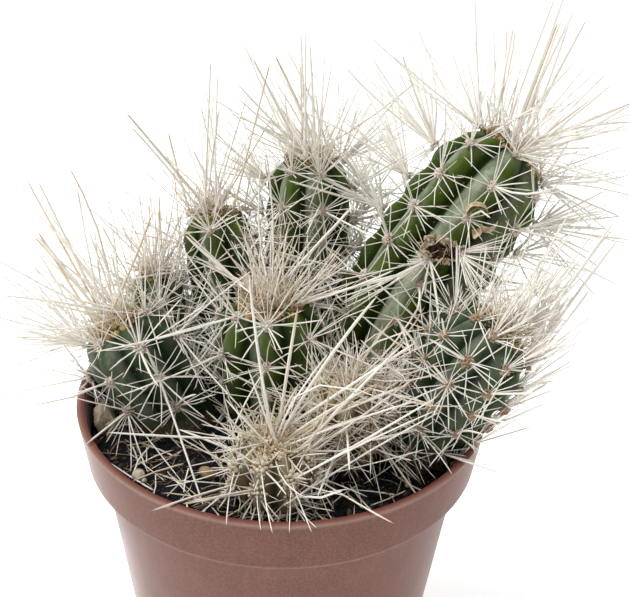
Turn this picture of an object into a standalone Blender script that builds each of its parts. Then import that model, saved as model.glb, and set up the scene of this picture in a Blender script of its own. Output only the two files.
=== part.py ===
"""Potted hedgehog cactus.

Nine ribbed stems of one clump, seven grown ones and two pups, stand in plain holes in the soil of a round
nursery pot, with a pale pebble beside them. Every stem carries woolly pads along its ribs, and every pad
carries a star of three-sided spines.

Units are metres, +Z is up, and the origin is the middle of the pot's flat underside. The camera side is -Y.
"""
import math
import random
from typing import NamedTuple

import bmesh
import bpy
import numpy as np
from mathutils import Matrix, Vector, noise
from mathutils.bvhtree import BVHTree

MM = 0.001

# Pot
RIM_RADIUS = 52.5 * MM
POT_HEIGHT = 93.0 * MM
BAND_HEIGHT = 13.9 * MM
BAND_FOOT_RADIUS = 50.6 * MM
BODY_TOP_RADIUS = 47.0 * MM
BODY_TAPER = 0.124
WALL = 1.3 * MM
LIP_THICKNESS = 2.0 * MM
FLOOR = 1.8 * MM
EDGE = 0.6 * MM
POT_SIDES = 48
DRAIN_HOLES = 6
DRAIN_SIDES = 10
DRAIN_RADIUS = 4.0 * MM
DRAIN_RING = 24.0 * MM

# Soil
SOIL_LEVEL = 84.0 * MM
SOIL_RELIEF = 0.9 * MM
SOIL_RINGS = 5
SOIL_SIDES = 27
SEAT_GAP = 0.3 * MM
HOLE_SIDES = 14
SEAT_RISE = 11.0 * MM
SEAT_DROP = 1.2 * MM

# Pebble
PEBBLE_PLACE = (-45.2 * MM, -6.2 * MM, 86.2 * MM)
PEBBLE_SIZE = (2.1 * MM, 2.5 * MM, 3.7 * MM)

# Stems: how deep they stand in the soil, and how their ribs and pads are shaped
STEM_DEPTH = 5.0 * MM
RIB_DEPTH = 0.21
PAD_SWELL = 0.045
RIB_SIDES = 4
SMALL_RIB_SIDES = 2
SMALL_STEM = 10.0
CROWN_GAP = 3.4 * MM
LOWEST_PAD = 4.5 * MM
TIP_RING = 1.1 * MM

# Spines: a pad is a small four-sided mound raised from the crest, and its faces are drawn out to points
PAD_FOOT = 0.72 * MM
PAD_TOP_RADIUS = 0.42 * MM
PAD_HEIGHT = 0.60 * MM
CROWN_RADIUS = 1.5 * MM
CROWN_HEIGHT = 0.6 * MM
LOW_SPINE = (7.0 * MM, 11.0 * MM)
HIGH_SPINE = (9.0 * MM, 17.0 * MM)
MAIN_SPINE = (14.0 * MM, 25.0 * MM)
CROWN_SPINE = (24.0 * MM, 36.0 * MM)
LOW_RISE = 18
HIGH_RISE = 42
CROWN_RISE = 16
TIP_LEAN = (8, 34)
SHORTENING = 0.75
SPINE_GAP = 0.35 * MM
SPINE_STEP = 1.6 * MM
ROOT_STRETCH = 2.2 * MM
STEEPEST = 0.3
SAME_POINT = 0.001 * MM
SHORTEST_SPINE = 3.0 * MM
TRIES = 16
SEED = 7


class Stem(NamedTuple):
    """One stem of the clump. Lengths are millimetres and angles are degrees."""
    foot: tuple          # where the axis meets the soil, x and y
    apex: tuple          # the growing tip, x, y and z
    bow: tuple           # how far the middle of the axis stands off its straight line
    radius: float        # over the ribs, at the widest
    foot_share: float    # of that radius, at the buried end
    widest: float        # share of the length where the stem is widest
    narrowing: float     # loss of radius from there to the tip
    cap: float           # length of the rounded tip
    ribs: int
    turn: float          # direction of the first rib: 0 is -X, 90 is the camera's side
    spacing: float       # between the pads along a rib
    reach: float         # length of the spines, as a share of the common one
    skin: tuple          # colour


GREEN = (0.060, 0.135, 0.045)
DARK_GREEN = (0.035, 0.085, 0.045)
TAN = (0.300, 0.235, 0.120)

STEMS = {
    "stem_left": Stem((-28.0, 1.0), (-43.6, 4.0, 112.3), (-0.5, 0, 1.0), 12.1, 0.80, 0.45, 0.04, 11.5,
                      7, 69, 9.0, 0.92, DARK_GREEN),
    "stem_back_left": Stem((-31.0, 24.0), (-35.6, 28.0, 113.1), (0, 0, 0), 7.8, 0.82, 0.40, 0.03, 8.0,
                           6, 40, 8.0, 1.20, GREEN),
    "stem_upper_left": Stem((-13.8, 29.0), (-19.3, 32.0, 129.4), (0, 0, 0), 9.6, 0.82, 0.40, 0.02, 8.0,
                            6, 84, 8.3, 1.00, GREEN),
    "stem_back": Stem((5.4, 34.8), (6.4, 42.0, 141.4), (0, 0, 0), 11.9, 0.80, 0.40, 0.04, 10.0,
                      7, 105, 8.8, 1.00, GREEN),
    "stem_tall": Stem((22.2, 13.6), (60.0, 36.0, 147.0), (-3.0, 0, 3.0), 17.2, 0.63, 0.42, 0.14, 13.0,
                      8, 73, 10.0, 1.00, GREEN),
    "stem_centre": Stem((-3.0, 4.0), (-3.8, 4.0, 119.4), (0, 0, 0), 13.6, 0.78, 0.45, 0.03, 12.0,
                        7, 87, 8.7, 0.85, GREEN),
    "stem_right": Stem((35.4, -15.0), (53.4, -12.0, 122.0), (-2.6, 0, 2.1), 12.1, 0.42, 0.66, 0.02, 12.0,
                       9, 58, 6.8, 0.85, DARK_GREEN),
    "pup_middle": Stem((15.8, -14.2), (16.6, -14.2, 107.1), (0, 0, 0), 8.2, 0.82, 0.40, 0.03, 8.0,
                       8, 80, 4.6, 0.80, TAN),
    "pup_front": Stem((-1.5, -29.0), (-1.7, -29.0, 100.0), (0, 0, 0), 9.4, 0.86, 0.40, 0.03, 9.0,
                      8, 68, 4.8, 0.62, TAN),
}


def material(name, colour, roughness):
    """A plain Principled material."""
    made = bpy.data.materials.new(name)
    made.use_nodes = True
    shader = made.node_tree.nodes["Principled BSDF"]
    shader.inputs["Base Color"].default_value = (*colour, 1.0)
    shader.inputs["Roughness"].default_value = roughness
    shader.inputs["Metallic"].default_value = 0.0
    made.diffuse_color = (*colour, 1.0)
    return made


def add_object(name, shape, finish=None):
    """Turn a bmesh into an object of the scene."""
    mesh = bpy.data.meshes.new(name)
    shape.to_mesh(mesh)
    shape.free()
    made = bpy.data.objects.new(name, mesh)
    bpy.context.scene.collection.objects.link(made)
    if finish:
        mesh.materials.append(finish)
    return made


def turned(profile, sides):
    """Spin a list of (radius, height) points round Z. It starts and ends on the axis."""
    shape = bmesh.new()
    points = [shape.verts.new((radius, 0, height)) for radius, height in profile]
    edges = [shape.edges.new(pair) for pair in zip(points, points[1:])]
    bmesh.ops.spin(shape, geom=points + edges, axis=(0, 0, 1), cent=(0, 0, 0), angle=math.tau,
                   steps=sides, use_merge=True)
    bmesh.ops.remove_doubles(shape, verts=shape.verts, dist=0.01 * MM)
    bmesh.ops.recalc_face_normals(shape, faces=shape.faces)
    return shape


def cut(target, cutters):
    """Cut all the cutters out of the target in one Boolean, and remove them."""
    group = bpy.data.collections.new(target.name + "_cutters")
    bpy.context.scene.collection.children.link(group)
    for cutter in cutters:
        bpy.context.scene.collection.objects.unlink(cutter)
        group.objects.link(cutter)
    step = target.modifiers.new("cut", "BOOLEAN")
    step.operation = "DIFFERENCE"
    step.operand_type = "COLLECTION"
    step.collection = group
    step.solver = "EXACT"
    bpy.context.view_layer.update()
    with bpy.context.temp_override(object=target, active_object=target, selected_objects=[target]):
        bpy.ops.object.modifier_apply(modifier=step.name)
    for cutter in cutters:
        mesh = cutter.data
        bpy.data.objects.remove(cutter)
        bpy.data.meshes.remove(mesh)
    bpy.data.collections.remove(group)


def smooth(made, angle):
    """Shade smooth, with the edges above the angle kept sharp."""
    made.data.shade_smooth()
    made.data.set_sharp_from_angle(angle=math.radians(angle))


# The pot's outline, shared by the pot and the soil in it
STEP_HEIGHT = POT_HEIGHT - BAND_HEIGHT
BASE_RADIUS = BODY_TOP_RADIUS - BODY_TAPER * STEP_HEIGHT
LEDGE_HEIGHT = STEP_HEIGHT + WALL


def body_inner_radius(height):
    """Radius of the inner wall below the band."""
    return BASE_RADIUS + BODY_TAPER * height - WALL


def band_inner_radius(height):
    """Radius of the inner wall of the band, up to the lip."""
    foot = BAND_FOOT_RADIUS - WALL
    share = (height - LEDGE_HEIGHT) / (POT_HEIGHT - LEDGE_HEIGHT)
    return foot + (RIM_RADIUS - LIP_THICKNESS - foot) * share


def make_pot():
    """The turned wall with its band, lip and inner ledge, and drain holes in its floor."""
    lip_inner = RIM_RADIUS - LIP_THICKNESS
    profile = [
        (0, 0),
        (BASE_RADIUS - EDGE, 0),
        (BASE_RADIUS, EDGE),
        (BODY_TOP_RADIUS, STEP_HEIGHT),
        (BAND_FOOT_RADIUS - EDGE, STEP_HEIGHT),
        (BAND_FOOT_RADIUS, STEP_HEIGHT + EDGE),
        (RIM_RADIUS, POT_HEIGHT - EDGE),
        (RIM_RADIUS - EDGE, POT_HEIGHT),
        (lip_inner + EDGE, POT_HEIGHT),
        (lip_inner, POT_HEIGHT - EDGE),
        (band_inner_radius(LEDGE_HEIGHT), LEDGE_HEIGHT),
        (body_inner_radius(LEDGE_HEIGHT), LEDGE_HEIGHT),
        (body_inner_radius(FLOOR), FLOOR),
        (0, FLOOR),
    ]
    pot = add_object("pot", turned(profile, POT_SIDES), material("terracotta_plastic", (0.30, 0.145, 0.115), 0.62))
    drains = []
    for index in range(DRAIN_HOLES):
        angle = math.tau * index / DRAIN_HOLES
        drain = bmesh.new()
        place = Matrix.Translation((DRAIN_RING * math.cos(angle), DRAIN_RING * math.sin(angle), 0))
        bmesh.ops.create_cone(drain, cap_ends=True, segments=DRAIN_SIDES, radius1=DRAIN_RADIUS,
                              radius2=DRAIN_RADIUS, depth=4 * FLOOR, matrix=place)
        drains.append(add_object(f"drain_{index}", drain))
    cut(pot, drains)
    smooth(pot, 30)
    return pot


def soil_height(x, y):
    """Relief of the soil's top, in crumbs and low mounds. It lies level where it meets the wall."""
    wall_side = min(1.0, (band_inner_radius(SOIL_LEVEL) - math.hypot(x, y)) / (6 * MM))
    bumps = noise.noise(Vector((x, y, 0)) / (7 * MM)) + 0.6 * noise.noise(Vector((x, y, 0.05)) / (3 * MM))
    return SOIL_LEVEL + SOIL_RELIEF * bumps * max(0.0, wall_side)


def make_soil(seats):
    """The plug of soil that fills the pot, with a plain hole for each stem and a dent for the pebble."""
    ledge = LEDGE_HEIGHT + SEAT_GAP
    floor = FLOOR + SEAT_GAP
    edge_radius = band_inner_radius(SOIL_LEVEL) - SEAT_GAP
    profile = [
        (0, floor),
        (body_inner_radius(floor) - SEAT_GAP, floor),
        (body_inner_radius(ledge) - SEAT_GAP, ledge),
        (band_inner_radius(ledge) - SEAT_GAP, ledge),
        (edge_radius, SOIL_LEVEL),
    ]
    for ring in range(SOIL_RINGS - 1, -1, -1):
        profile.append((edge_radius * ring / SOIL_RINGS, SOIL_LEVEL))
    shape = turned(profile, SOIL_SIDES)
    for vert in shape.verts:
        if vert.co.z > SOIL_LEVEL - 0.01 * MM:
            vert.co.z = soil_height(vert.co.x, vert.co.y)
    soil = add_object("soil", shape, material("peat", (0.018, 0.014, 0.012), 0.95))
    cut(soil, seats)
    smooth(soil, 40)
    return soil


def make_pebble():
    """A pale wedge of stone that leans on the soil by the wall, and the dent that it lies in."""
    shape = bmesh.new()
    bmesh.ops.create_icosphere(shape, subdivisions=2, radius=1.0)
    for vert in shape.verts:
        point = vert.co.copy()
        lump = 1.0 + 0.22 * noise.noise(point * 1.3 + Vector((4, 1, 7)))
        pinch = 1.0 - 0.42 * max(0.0, point.z)
        vert.co = Vector((point.x * pinch, point.y * pinch, point.z)) * lump
    dent = shape.copy()
    stand = Matrix.Translation(PEBBLE_PLACE) @ Matrix.Rotation(math.radians(-8), 4, "Y")
    for made, grow in ((shape, 0), (dent, SEAT_GAP * 1.2)):
        size = Matrix.Diagonal([side + grow for side in PEBBLE_SIZE]).to_4x4()
        bmesh.ops.transform(made, matrix=stand @ size, verts=made.verts)
    pebble = add_object("pebble", shape, material("pale_stone", (0.62, 0.56, 0.44), 0.85))
    smooth(pebble, 40)
    return pebble, add_object("pebble_dent", dent)


class Growth:
    """The surface of one stem: a bowed axis, a profile along it and ribs round it."""

    def __init__(self, stem):
        self.stem = stem
        foot = Vector((*stem.foot, SOIL_LEVEL / MM)) * MM
        self.apex = Vector(stem.apex) * MM
        self.bow = Vector(stem.bow) * MM
        rise = (self.apex - foot).normalized()
        self.end = foot - rise * (STEM_DEPTH / rise.z)
        self.length = (self.apex - self.end).length
        self.cap = stem.cap * MM / self.length
        self.spacing = stem.spacing * MM

    def axis(self, share):
        """The axis, its direction and the two directions across it."""
        chord = self.apex - self.end
        point = self.end + chord * share + self.bow * (4 * share * (1 - share))
        along = (chord + self.bow * (4 - 8 * share)).normalized()
        left = along.cross(Vector((0, 1, 0))).normalized()
        return point, along, left, along.cross(left)

    def profile(self, share):
        """Radius over the ribs, as a share of the widest."""
        stem = self.stem
        grown = math.sin(min(1.0, share / stem.widest) * math.pi / 2)
        radius = stem.foot_share + (1 - stem.foot_share) * grown
        radius *= 1 - stem.narrowing * max(0.0, share - stem.widest) / (1 - stem.widest)
        into_cap = (share - (1 - self.cap)) / self.cap
        return radius * math.sqrt(max(0.0, 1 - max(0.0, into_cap) ** 2))

    def rib_swell(self, share, rib_angle):
        """Rounded ribs with narrow furrows between them, which swell where a pad sits."""
        rib = round(rib_angle)
        crest = abs(math.cos(math.pi * (rib_angle - rib)))
        below_tip = (1 - share) * self.length - CROWN_GAP - (rib % 2) * self.spacing / 2
        beat = math.cos(math.tau * below_tip / self.spacing)
        return 1 - RIB_DEPTH * (1 - crest) + PAD_SWELL * beat * crest ** 4

    def surface(self, share, angle):
        """A point of the skin. The angle is in turns of a full circle from the first rib."""
        point, _, left, front = self.axis(share)
        turn = math.radians(self.stem.turn) + angle * math.tau
        radius = self.stem.radius * MM * self.profile(share) * self.rib_swell(share, angle * self.stem.ribs)
        return point + (left * math.cos(turn) + front * math.sin(turn)) * radius

    def outward(self, share, angle):
        """The skin's normal, and the direction up the rib, smoothed over the ribs."""
        step = 0.4 * MM / self.length
        up = (self.surface(min(1, share + step), angle) - self.surface(share - step, angle)).normalized()
        turn = math.radians(self.stem.turn) + angle * math.tau
        _, _, left, front = self.axis(share)
        round_it = (front * math.cos(turn) - left * math.sin(turn)).normalized()
        return round_it.cross(up).normalized(), up

    def stations(self):
        """Distances below the tip where the skin has a ring of points. Every pad lies on one."""
        rings = [TIP_RING]
        while rings[-1] < self.length - self.spacing / 4:
            rings.append(CROWN_GAP + (len(rings) - 1) * self.spacing / 2)
        return rings[:-1]

    def has_pad(self, rib, below_tip):
        """Pads lie a spacing apart along a rib, and those of neighbouring ribs lie between them."""
        row = (below_tip - CROWN_GAP - (rib % 2) * self.spacing / 2) / self.spacing
        return abs(row - round(row)) < 0.1 and row > -0.5 and below_tip < self.length - STEM_DEPTH - LOWEST_PAD


class Pad(NamedTuple):
    """A woolly pad: the four-sided face that its mound rises from, and where that lies on the stem."""
    row: int
    stem: str
    face: object
    share: float
    angle: float


def close_tip(shape, growth, ring, rib_sides):
    """Close the last ring of points over the tip. The faces of the low mound in its middle are returned."""
    _, along, left, front = growth.axis(1)
    rim = []
    for rib in range(growth.stem.ribs):
        turn = math.radians(growth.stem.turn) + math.tau * rib / growth.stem.ribs
        rim.append(shape.verts.new(growth.apex + (left * math.cos(turn) + front * math.sin(turn)) * CROWN_RADIUS))
    tip = shape.verts.new(growth.apex + along * CROWN_HEIGHT)
    crown = []
    half = rib_sides // 2
    for rib in range(growth.stem.ribs):
        here, after = rim[rib], rim[(rib + 1) % len(rim)]
        outer = [ring[(rib * rib_sides + side) % len(ring)] for side in range(rib_sides + 1)]
        for side in range(rib_sides):
            shape.faces.new((outer[side], outer[side + 1], here if side < half else after))
        shape.faces.new((here, outer[half], after))
        crown.append(shape.faces.new((here, after, tip)))
    return crown


def make_stem_body(name, growth):
    """The ribbed skin as one closed bmesh, the faces of its tip and the pads on its crests."""
    rib_sides = SMALL_RIB_SIDES if growth.stem.radius < SMALL_STEM else RIB_SIDES
    sides = growth.stem.ribs * rib_sides
    shape = bmesh.new()
    rings = []
    seats = []
    for below_tip in growth.stations():
        share = 1 - below_tip / growth.length
        rings.append([shape.verts.new(growth.surface(share, side / sides)) for side in range(sides)])
        for rib in range(growth.stem.ribs):
            if below_tip > TIP_RING and growth.has_pad(rib, below_tip):
                seats.append((rings[-1][rib * rib_sides], share, rib / growth.stem.ribs))
    rings.append([shape.verts.new(growth.surface(0, side / sides)) for side in range(sides)])
    for high, low in zip(rings, rings[1:]):
        for side in range(sides):
            after = (side + 1) % sides
            shape.faces.new((low[side], low[after], high[after], high[side]))
    crown = close_tip(shape, growth, rings[0], rib_sides)
    shape.faces.new(rings[-1])
    bmesh.ops.recalc_face_normals(shape, faces=shape.faces)

    places = [(seat.co.copy(), share, angle) for seat, share, angle in seats]
    opened = bmesh.ops.bevel(shape, geom=[seat for seat, _, _ in seats], offset=PAD_FOOT, segments=1,
                             profile=0.5, affect="VERTICES")
    pads = []
    for place, share, angle in places:
        face = min(opened["faces"], key=lambda one: (one.calc_center_median() - place).length)
        row = int((1 - share) * growth.length / growth.spacing)
        pads.append(Pad(row, name, face, share, angle))
    return shape, crown, pads


def make_seat(name, growth):
    """The cutter for the plain hole that a stem stands in."""
    radius = max(growth.stem.radius * MM * growth.profile(share) for share in
                 (STEM_DEPTH * k / 4 / growth.length for k in range(8)))
    low = growth.axis(0)[0]
    high = growth.axis((STEM_DEPTH + SEAT_RISE) / growth.length)[0]
    seat_radius = (radius * (1 + PAD_SWELL) + 2.6 * SEAT_GAP) / math.cos(math.pi / HOLE_SIDES)
    shape = bmesh.new()
    along = (high - low).normalized()
    low = low - along * SEAT_DROP
    depth = (high - low).length
    turn = Vector((0, 0, 1)).rotation_difference(along).to_matrix().to_4x4()
    bmesh.ops.create_cone(shape, cap_ends=True, segments=HOLE_SIDES, radius1=seat_radius, radius2=seat_radius,
                          depth=depth, matrix=Matrix.Translation((low + high) / 2) @ turn)
    return add_object(name + "_seat", shape)


def closest_gap(start, end, starts, ends):
    """Least distance between the segment start-end and each of many segments, with numpy arrays."""
    along = end - start
    others = ends - starts
    between = start - starts
    a = along @ along
    e = np.einsum("ij,ij->i", others, others)
    f = np.einsum("ij,ij->i", others, between)
    c = between @ along
    b = others @ along
    bottom = np.maximum(a * e - b * b, 1e-16)
    s = np.clip((b * f - c * e) / bottom, 0, 1)
    t = (b * s + f) / e
    s = np.where(t < 0, np.clip(-c / a, 0, 1), np.where(t > 1, np.clip((b - c) / a, 0, 1), s))
    t = np.clip(t, 0, 1)
    gap = between + np.outer(s, along) - others * t[:, None]
    return np.sqrt(np.einsum("ij,ij->i", gap, gap)), s, t


class Thicket:
    """Every spine that has found room so far, and the solids that spines keep clear of."""

    def __init__(self, shapes, pads, tips):
        self.trees = {name: BVHTree.FromBMesh(shape) for name, shape in shapes.items()}
        self.mounds = np.array([pad.face.calc_center_median() for pad in pads] + tips)
        self.starts = np.empty((0, 3))
        self.ends = np.empty((0, 3))
        self.owners = np.empty(0, int)
        self.roots = np.empty(0)

    def add(self, start, end, thickness, owner):
        self.starts = np.vstack([self.starts, start])
        self.ends = np.vstack([self.ends, end])
        self.owners = np.append(self.owners, owner)
        self.roots = np.append(self.roots, thickness)

    def room(self, home, start, end, thickness, owner):
        """True where the spine from start to end crosses nothing. Its root stretch lies close to its own stem."""
        span = (end - start).length
        steps = max(3, int(span / SPINE_STEP))
        for index in range(1, steps + 1):
            share = index / steps
            point = start + (end - start) * share
            need = thickness * (1 - share) + SPINE_GAP
            if not clear_of_pot(point, need):
                return False
            for name, tree in self.trees.items():
                if name == home and span * share < ROOT_STRETCH:
                    continue
                if hits(tree, point, 0.7 * need if name == home else need):
                    return False
        along = np.array(end - start)
        to_mounds = np.delete(self.mounds, owner, axis=0) - np.array(start)
        nearest = np.clip(to_mounds @ along / (along @ along), 0, 1)
        if np.linalg.norm(to_mounds - np.outer(nearest, along), axis=1).min() < PAD_FOOT + PAD_HEIGHT:
            return False
        if not len(self.owners):
            return True
        others = self.owners != owner
        gaps, here, there = closest_gap(np.array(start), np.array(end), self.starts[others], self.ends[others])
        needs = thickness * (1 - here) + self.roots[others] * (1 - there) + SPINE_GAP
        return bool(np.all(gaps > needs))


def crosses(new, old):
    """True where a new triangle cuts an old one that it shares no corner with."""
    if not old:
        return False
    new_tree, old_tree = (BVHTree.FromPolygons([corner for triangle in some for corner in triangle],
                                               [(3 * k, 3 * k + 1, 3 * k + 2) for k in range(len(some))])
                          for some in (new, old))
    for one, other in new_tree.overlap(old_tree):
        if all((a - b).length > SAME_POINT for a in new[one] for b in old[other]):
            return True
    return False


def hits(tree, point, distance):
    """True where the point is inside the solid, or nearer to its skin than the distance."""
    near, normal, _, gap = tree.find_nearest(point)
    return gap < distance or (gap < SMALL_STEM * MM and (point - near).dot(normal) < 0)


def clear_of_pot(point, distance):
    """True where a point keeps the distance from the soil, the pebble, the wall and the lip."""
    radius = math.hypot(point.x, point.y)
    if (point - Vector(PEBBLE_PLACE)).length < max(PEBBLE_SIZE) + distance:
        return False
    if radius < band_inner_radius(POT_HEIGHT) - distance and point.z > POT_HEIGHT:
        return True
    if radius < band_inner_radius(SOIL_LEVEL) - distance:
        return point.z > soil_height(point.x, point.y) + SOIL_RELIEF / 2 + distance
    return point.z > POT_HEIGHT + distance


def draw_spine(shape, face, stem, owner, thicket, aims, star):
    """Draw a face out to a point, along the first of the aims that has room. An aim is a vector."""
    root = face.calc_center_median()
    thickness = 0.45 * math.sqrt(face.calc_area())
    corners = list(face.verts)
    for aim in aims:
        if aim.length < SHORTEST_SPINE or aim.normalized().dot(face.normal) < STEEPEST:
            continue
        sides = [(corners[k].co.copy(), corners[(k + 1) % 3].co.copy(), root + aim) for k in range(3)]
        if crosses(sides, star) or not thicket.room(stem, root, root + aim, thickness, owner):
            continue
        thicket.add(root, root + aim, thickness, owner)
        star += sides
        shape.faces.remove(face)
        point = shape.verts.new(root + aim)
        for k in range(3):
            shape.faces.new((corners[k], corners[(k + 1) % 3], point))
        return


def grow_star(shape, growth, pad, owner, thicket, chance):
    """Raise one pad into a mound and draw its faces out into spines."""
    out, up = growth.outward(pad.share, pad.angle)
    side = out.cross(up).normalized()
    foot = list(pad.face.verts)
    centre = pad.face.calc_center_median()
    shape.faces.remove(pad.face)
    top = []
    for near, after in zip(foot, foot[1:] + foot[:1]):
        across = (near.co + after.co) / 2 - centre
        across = (across - out * across.dot(out)).normalized()
        top.append(shape.verts.new(centre + across * PAD_TOP_RADIUS + out * PAD_HEIGHT))
    faces = [(shape.faces.new((top[0], top[1], top[2])), MAIN_SPINE, None),
             (shape.faces.new((top[0], top[2], top[3])), MAIN_SPINE, None)]
    for k in range(4):
        after = (k + 1) % 4
        faces.append((shape.faces.new((foot[k], foot[after], top[k])), LOW_SPINE, LOW_RISE))
        faces.append((shape.faces.new((top[k], foot[after], top[after])), HIGH_SPINE, HIGH_RISE))

    in_crown = pad.row == 0
    along = growth.axis(pad.share)[1]
    star = []
    for face, lengths, rise in faces:
        face.normal_update()
        ahead = face.calc_center_median() - centre
        way = math.atan2(ahead.dot(side), ahead.dot(up))
        if in_crown and rise != LOW_RISE:
            lengths = CROWN_SPINE
        aims = []
        for attempt in range(TRIES):
            loose = 1 + attempt / TRIES
            if rise is None:
                lean = chance.uniform(4, 24) * loose
            else:
                lean = 90 - rise - (CROWN_RISE if in_crown else 0) + chance.uniform(-8, 8) * loose
            lean = math.radians(lean)
            turn = way + math.radians(chance.uniform(-14, 14) * loose)
            aim = (up * math.cos(turn) + side * math.sin(turn)) * math.sin(lean) + out * math.cos(lean)
            if in_crown:
                aim = (aim + along * 0.3).normalized()
            shorter = 1 - SHORTENING * (attempt / TRIES) ** 2
            aims.append(aim * chance.uniform(*lengths) * growth.stem.reach * shorter)
        draw_spine(shape, face, pad.stem, owner, thicket, aims, star)


def grow_crown(shape, crown, name, growth, owner, thicket, chance):
    """Draw the faces of the tip out into the upright spines of the crown."""
    along = growth.axis(1)[1]
    star = []
    for face in crown:
        face.normal_update()
        ahead = (face.calc_center_median() - growth.apex)
        ahead = (ahead - along * ahead.dot(along)).normalized()
        aims = []
        for attempt in range(TRIES):
            lean = math.radians(chance.uniform(*TIP_LEAN))
            aim = along * math.cos(lean) + ahead * math.sin(lean)
            shorter = 1 - SHORTENING * (attempt / TRIES) ** 2
            aims.append(aim * chance.uniform(*CROWN_SPINE) * growth.stem.reach * shorter)
        draw_spine(shape, face, name, owner, thicket, aims, star)


def main():
    for old in list(bpy.data.objects):
        bpy.data.objects.remove(old)
    growths = {name: Growth(stem) for name, stem in STEMS.items()}
    pebble, dent = make_pebble()
    make_pot()
    make_soil([make_seat(name, growth) for name, growth in growths.items()] + [dent])

    shapes = {}
    crowns = {}
    pads = []
    for name, growth in growths.items():
        shapes[name], crowns[name], found = make_stem_body(name, growth)
        pads += found
    pads.sort(key=lambda pad: pad.row)
    thicket = Thicket(shapes, pads, [growth.apex for growth in growths.values()])
    chance = random.Random(SEED)
    for owner, (name, growth) in enumerate(growths.items(), len(pads)):
        grow_crown(shapes[name], crowns[name], name, growth, owner, thicket, chance)
    for owner, pad in enumerate(pads):
        grow_star(shapes[pad.stem], growths[pad.stem], pad, owner, thicket, chance)
    for name, shape in shapes.items():
        bmesh.ops.triangulate(shape, faces=shape.faces)
        skin = material(name + "_skin", growths[name].stem.skin, 0.5)
        smooth(add_object(name, shape, skin), 35)


main()
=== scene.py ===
"""Potted hedgehog cactus: the looks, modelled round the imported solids.

Units are metres and +Z is up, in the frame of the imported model, whose origin is the middle of the pot's
underside. The camera stands at -Y. Run the file as a script: main() makes every piece in order.
"""

import math
import random
from typing import NamedTuple

import bmesh
import bpy
import numpy as np
from bpy.props import FloatProperty, FloatVectorProperty, IntProperty, PointerProperty
from bpy.types import Operator, Panel, PropertyGroup
from mathutils import Euler, Matrix, Vector, noise
from mathutils.bvhtree import BVHTree
from mathutils.kdtree import KDTree


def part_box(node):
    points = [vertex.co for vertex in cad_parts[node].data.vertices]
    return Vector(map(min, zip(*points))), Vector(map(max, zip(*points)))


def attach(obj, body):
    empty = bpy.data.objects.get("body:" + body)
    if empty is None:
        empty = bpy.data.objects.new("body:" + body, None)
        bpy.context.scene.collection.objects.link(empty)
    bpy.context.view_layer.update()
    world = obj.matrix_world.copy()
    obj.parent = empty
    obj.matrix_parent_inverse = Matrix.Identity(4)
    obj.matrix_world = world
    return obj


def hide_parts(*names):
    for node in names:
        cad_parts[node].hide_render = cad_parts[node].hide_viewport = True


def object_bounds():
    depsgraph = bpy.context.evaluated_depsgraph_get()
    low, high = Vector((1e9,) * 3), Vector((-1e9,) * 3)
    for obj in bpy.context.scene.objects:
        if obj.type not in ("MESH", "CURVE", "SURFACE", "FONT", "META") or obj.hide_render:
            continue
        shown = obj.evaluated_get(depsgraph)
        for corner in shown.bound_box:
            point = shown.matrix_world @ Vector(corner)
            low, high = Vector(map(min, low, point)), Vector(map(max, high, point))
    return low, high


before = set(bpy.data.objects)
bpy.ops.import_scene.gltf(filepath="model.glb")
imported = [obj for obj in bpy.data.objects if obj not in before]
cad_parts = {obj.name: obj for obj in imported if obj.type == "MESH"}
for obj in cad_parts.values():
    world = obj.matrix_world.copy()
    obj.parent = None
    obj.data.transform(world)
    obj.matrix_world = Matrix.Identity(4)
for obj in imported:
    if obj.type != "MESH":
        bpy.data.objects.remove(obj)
cad_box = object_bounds()

bl_info = {
    "name": "Potted Hedgehog Cactus",
    "version": (1, 0, 0),
    "blender": (4, 5, 0),
    "location": "View3D > Sidebar > Cactus",
    "description": "A clump of ribbed, spiny stems in a round nursery pot",
    "category": "Add Mesh",
}

MM = 0.001

# The camera of the photograph: where it stands, and how far it looks down, turns right and leans
CAMERA_PLACE = (0.0, -0.2534, 0.2691)
CAMERA_DOWN = math.radians(30.30)
CAMERA_HEADING = math.radians(1.66)
CAMERA_ROLL = math.radians(2.00)
CAMERA_LENS = 68.29
CAMERA_SENSOR = 36.0

# The pot's outline, from the frame and the sizes that the solid pot was turned to
POT_LOW, POT_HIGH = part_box("pot")
RIM_RADIUS = (POT_HIGH.x - POT_LOW.x) / 2
POT_HEIGHT = POT_HIGH.z
BAND_HEIGHT = 13.9 * MM
BAND_FOOT_RADIUS = 50.6 * MM
BODY_TOP_RADIUS = 47.0 * MM
BODY_TAPER = 0.124
WALL = 1.3 * MM
LIP_THICKNESS = 2.0 * MM
FLOOR = 1.8 * MM
STEP_HEIGHT = POT_HEIGHT - BAND_HEIGHT
BASE_RADIUS = BODY_TOP_RADIUS - BODY_TAPER * STEP_HEIGHT
LEDGE_HEIGHT = STEP_HEIGHT + WALL
DRAIN_HOLES = 6
DRAIN_RADIUS = 4.0 * MM
DRAIN_RING = 24.0 * MM

# Soil and pebble
SOIL_LEVEL = 84.0 * MM
SOIL_RELIEF = 0.9 * MM
SEAT_GAP = 0.3 * MM
PEBBLE_PLACE = Vector((-45.6, -4.6, 87.4)) * MM
PEBBLE_SIZE = Vector((2.9, 3.1, 4.6)) * MM

# Wax lies on the flanks that face this way, towards the key light, and painted light is laid there with it
WAX_AND_LIGHT_SIDE = Vector((-0.72, -0.30, 0.62))

# How every stem is shaped
STEM_DEPTH = 5.0 * MM
RIB_DEPTH = 0.21
PAD_SWELL = 0.045
CROWN_GAP = 3.4 * MM
LOWEST_PAD = 4.5 * MM


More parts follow.
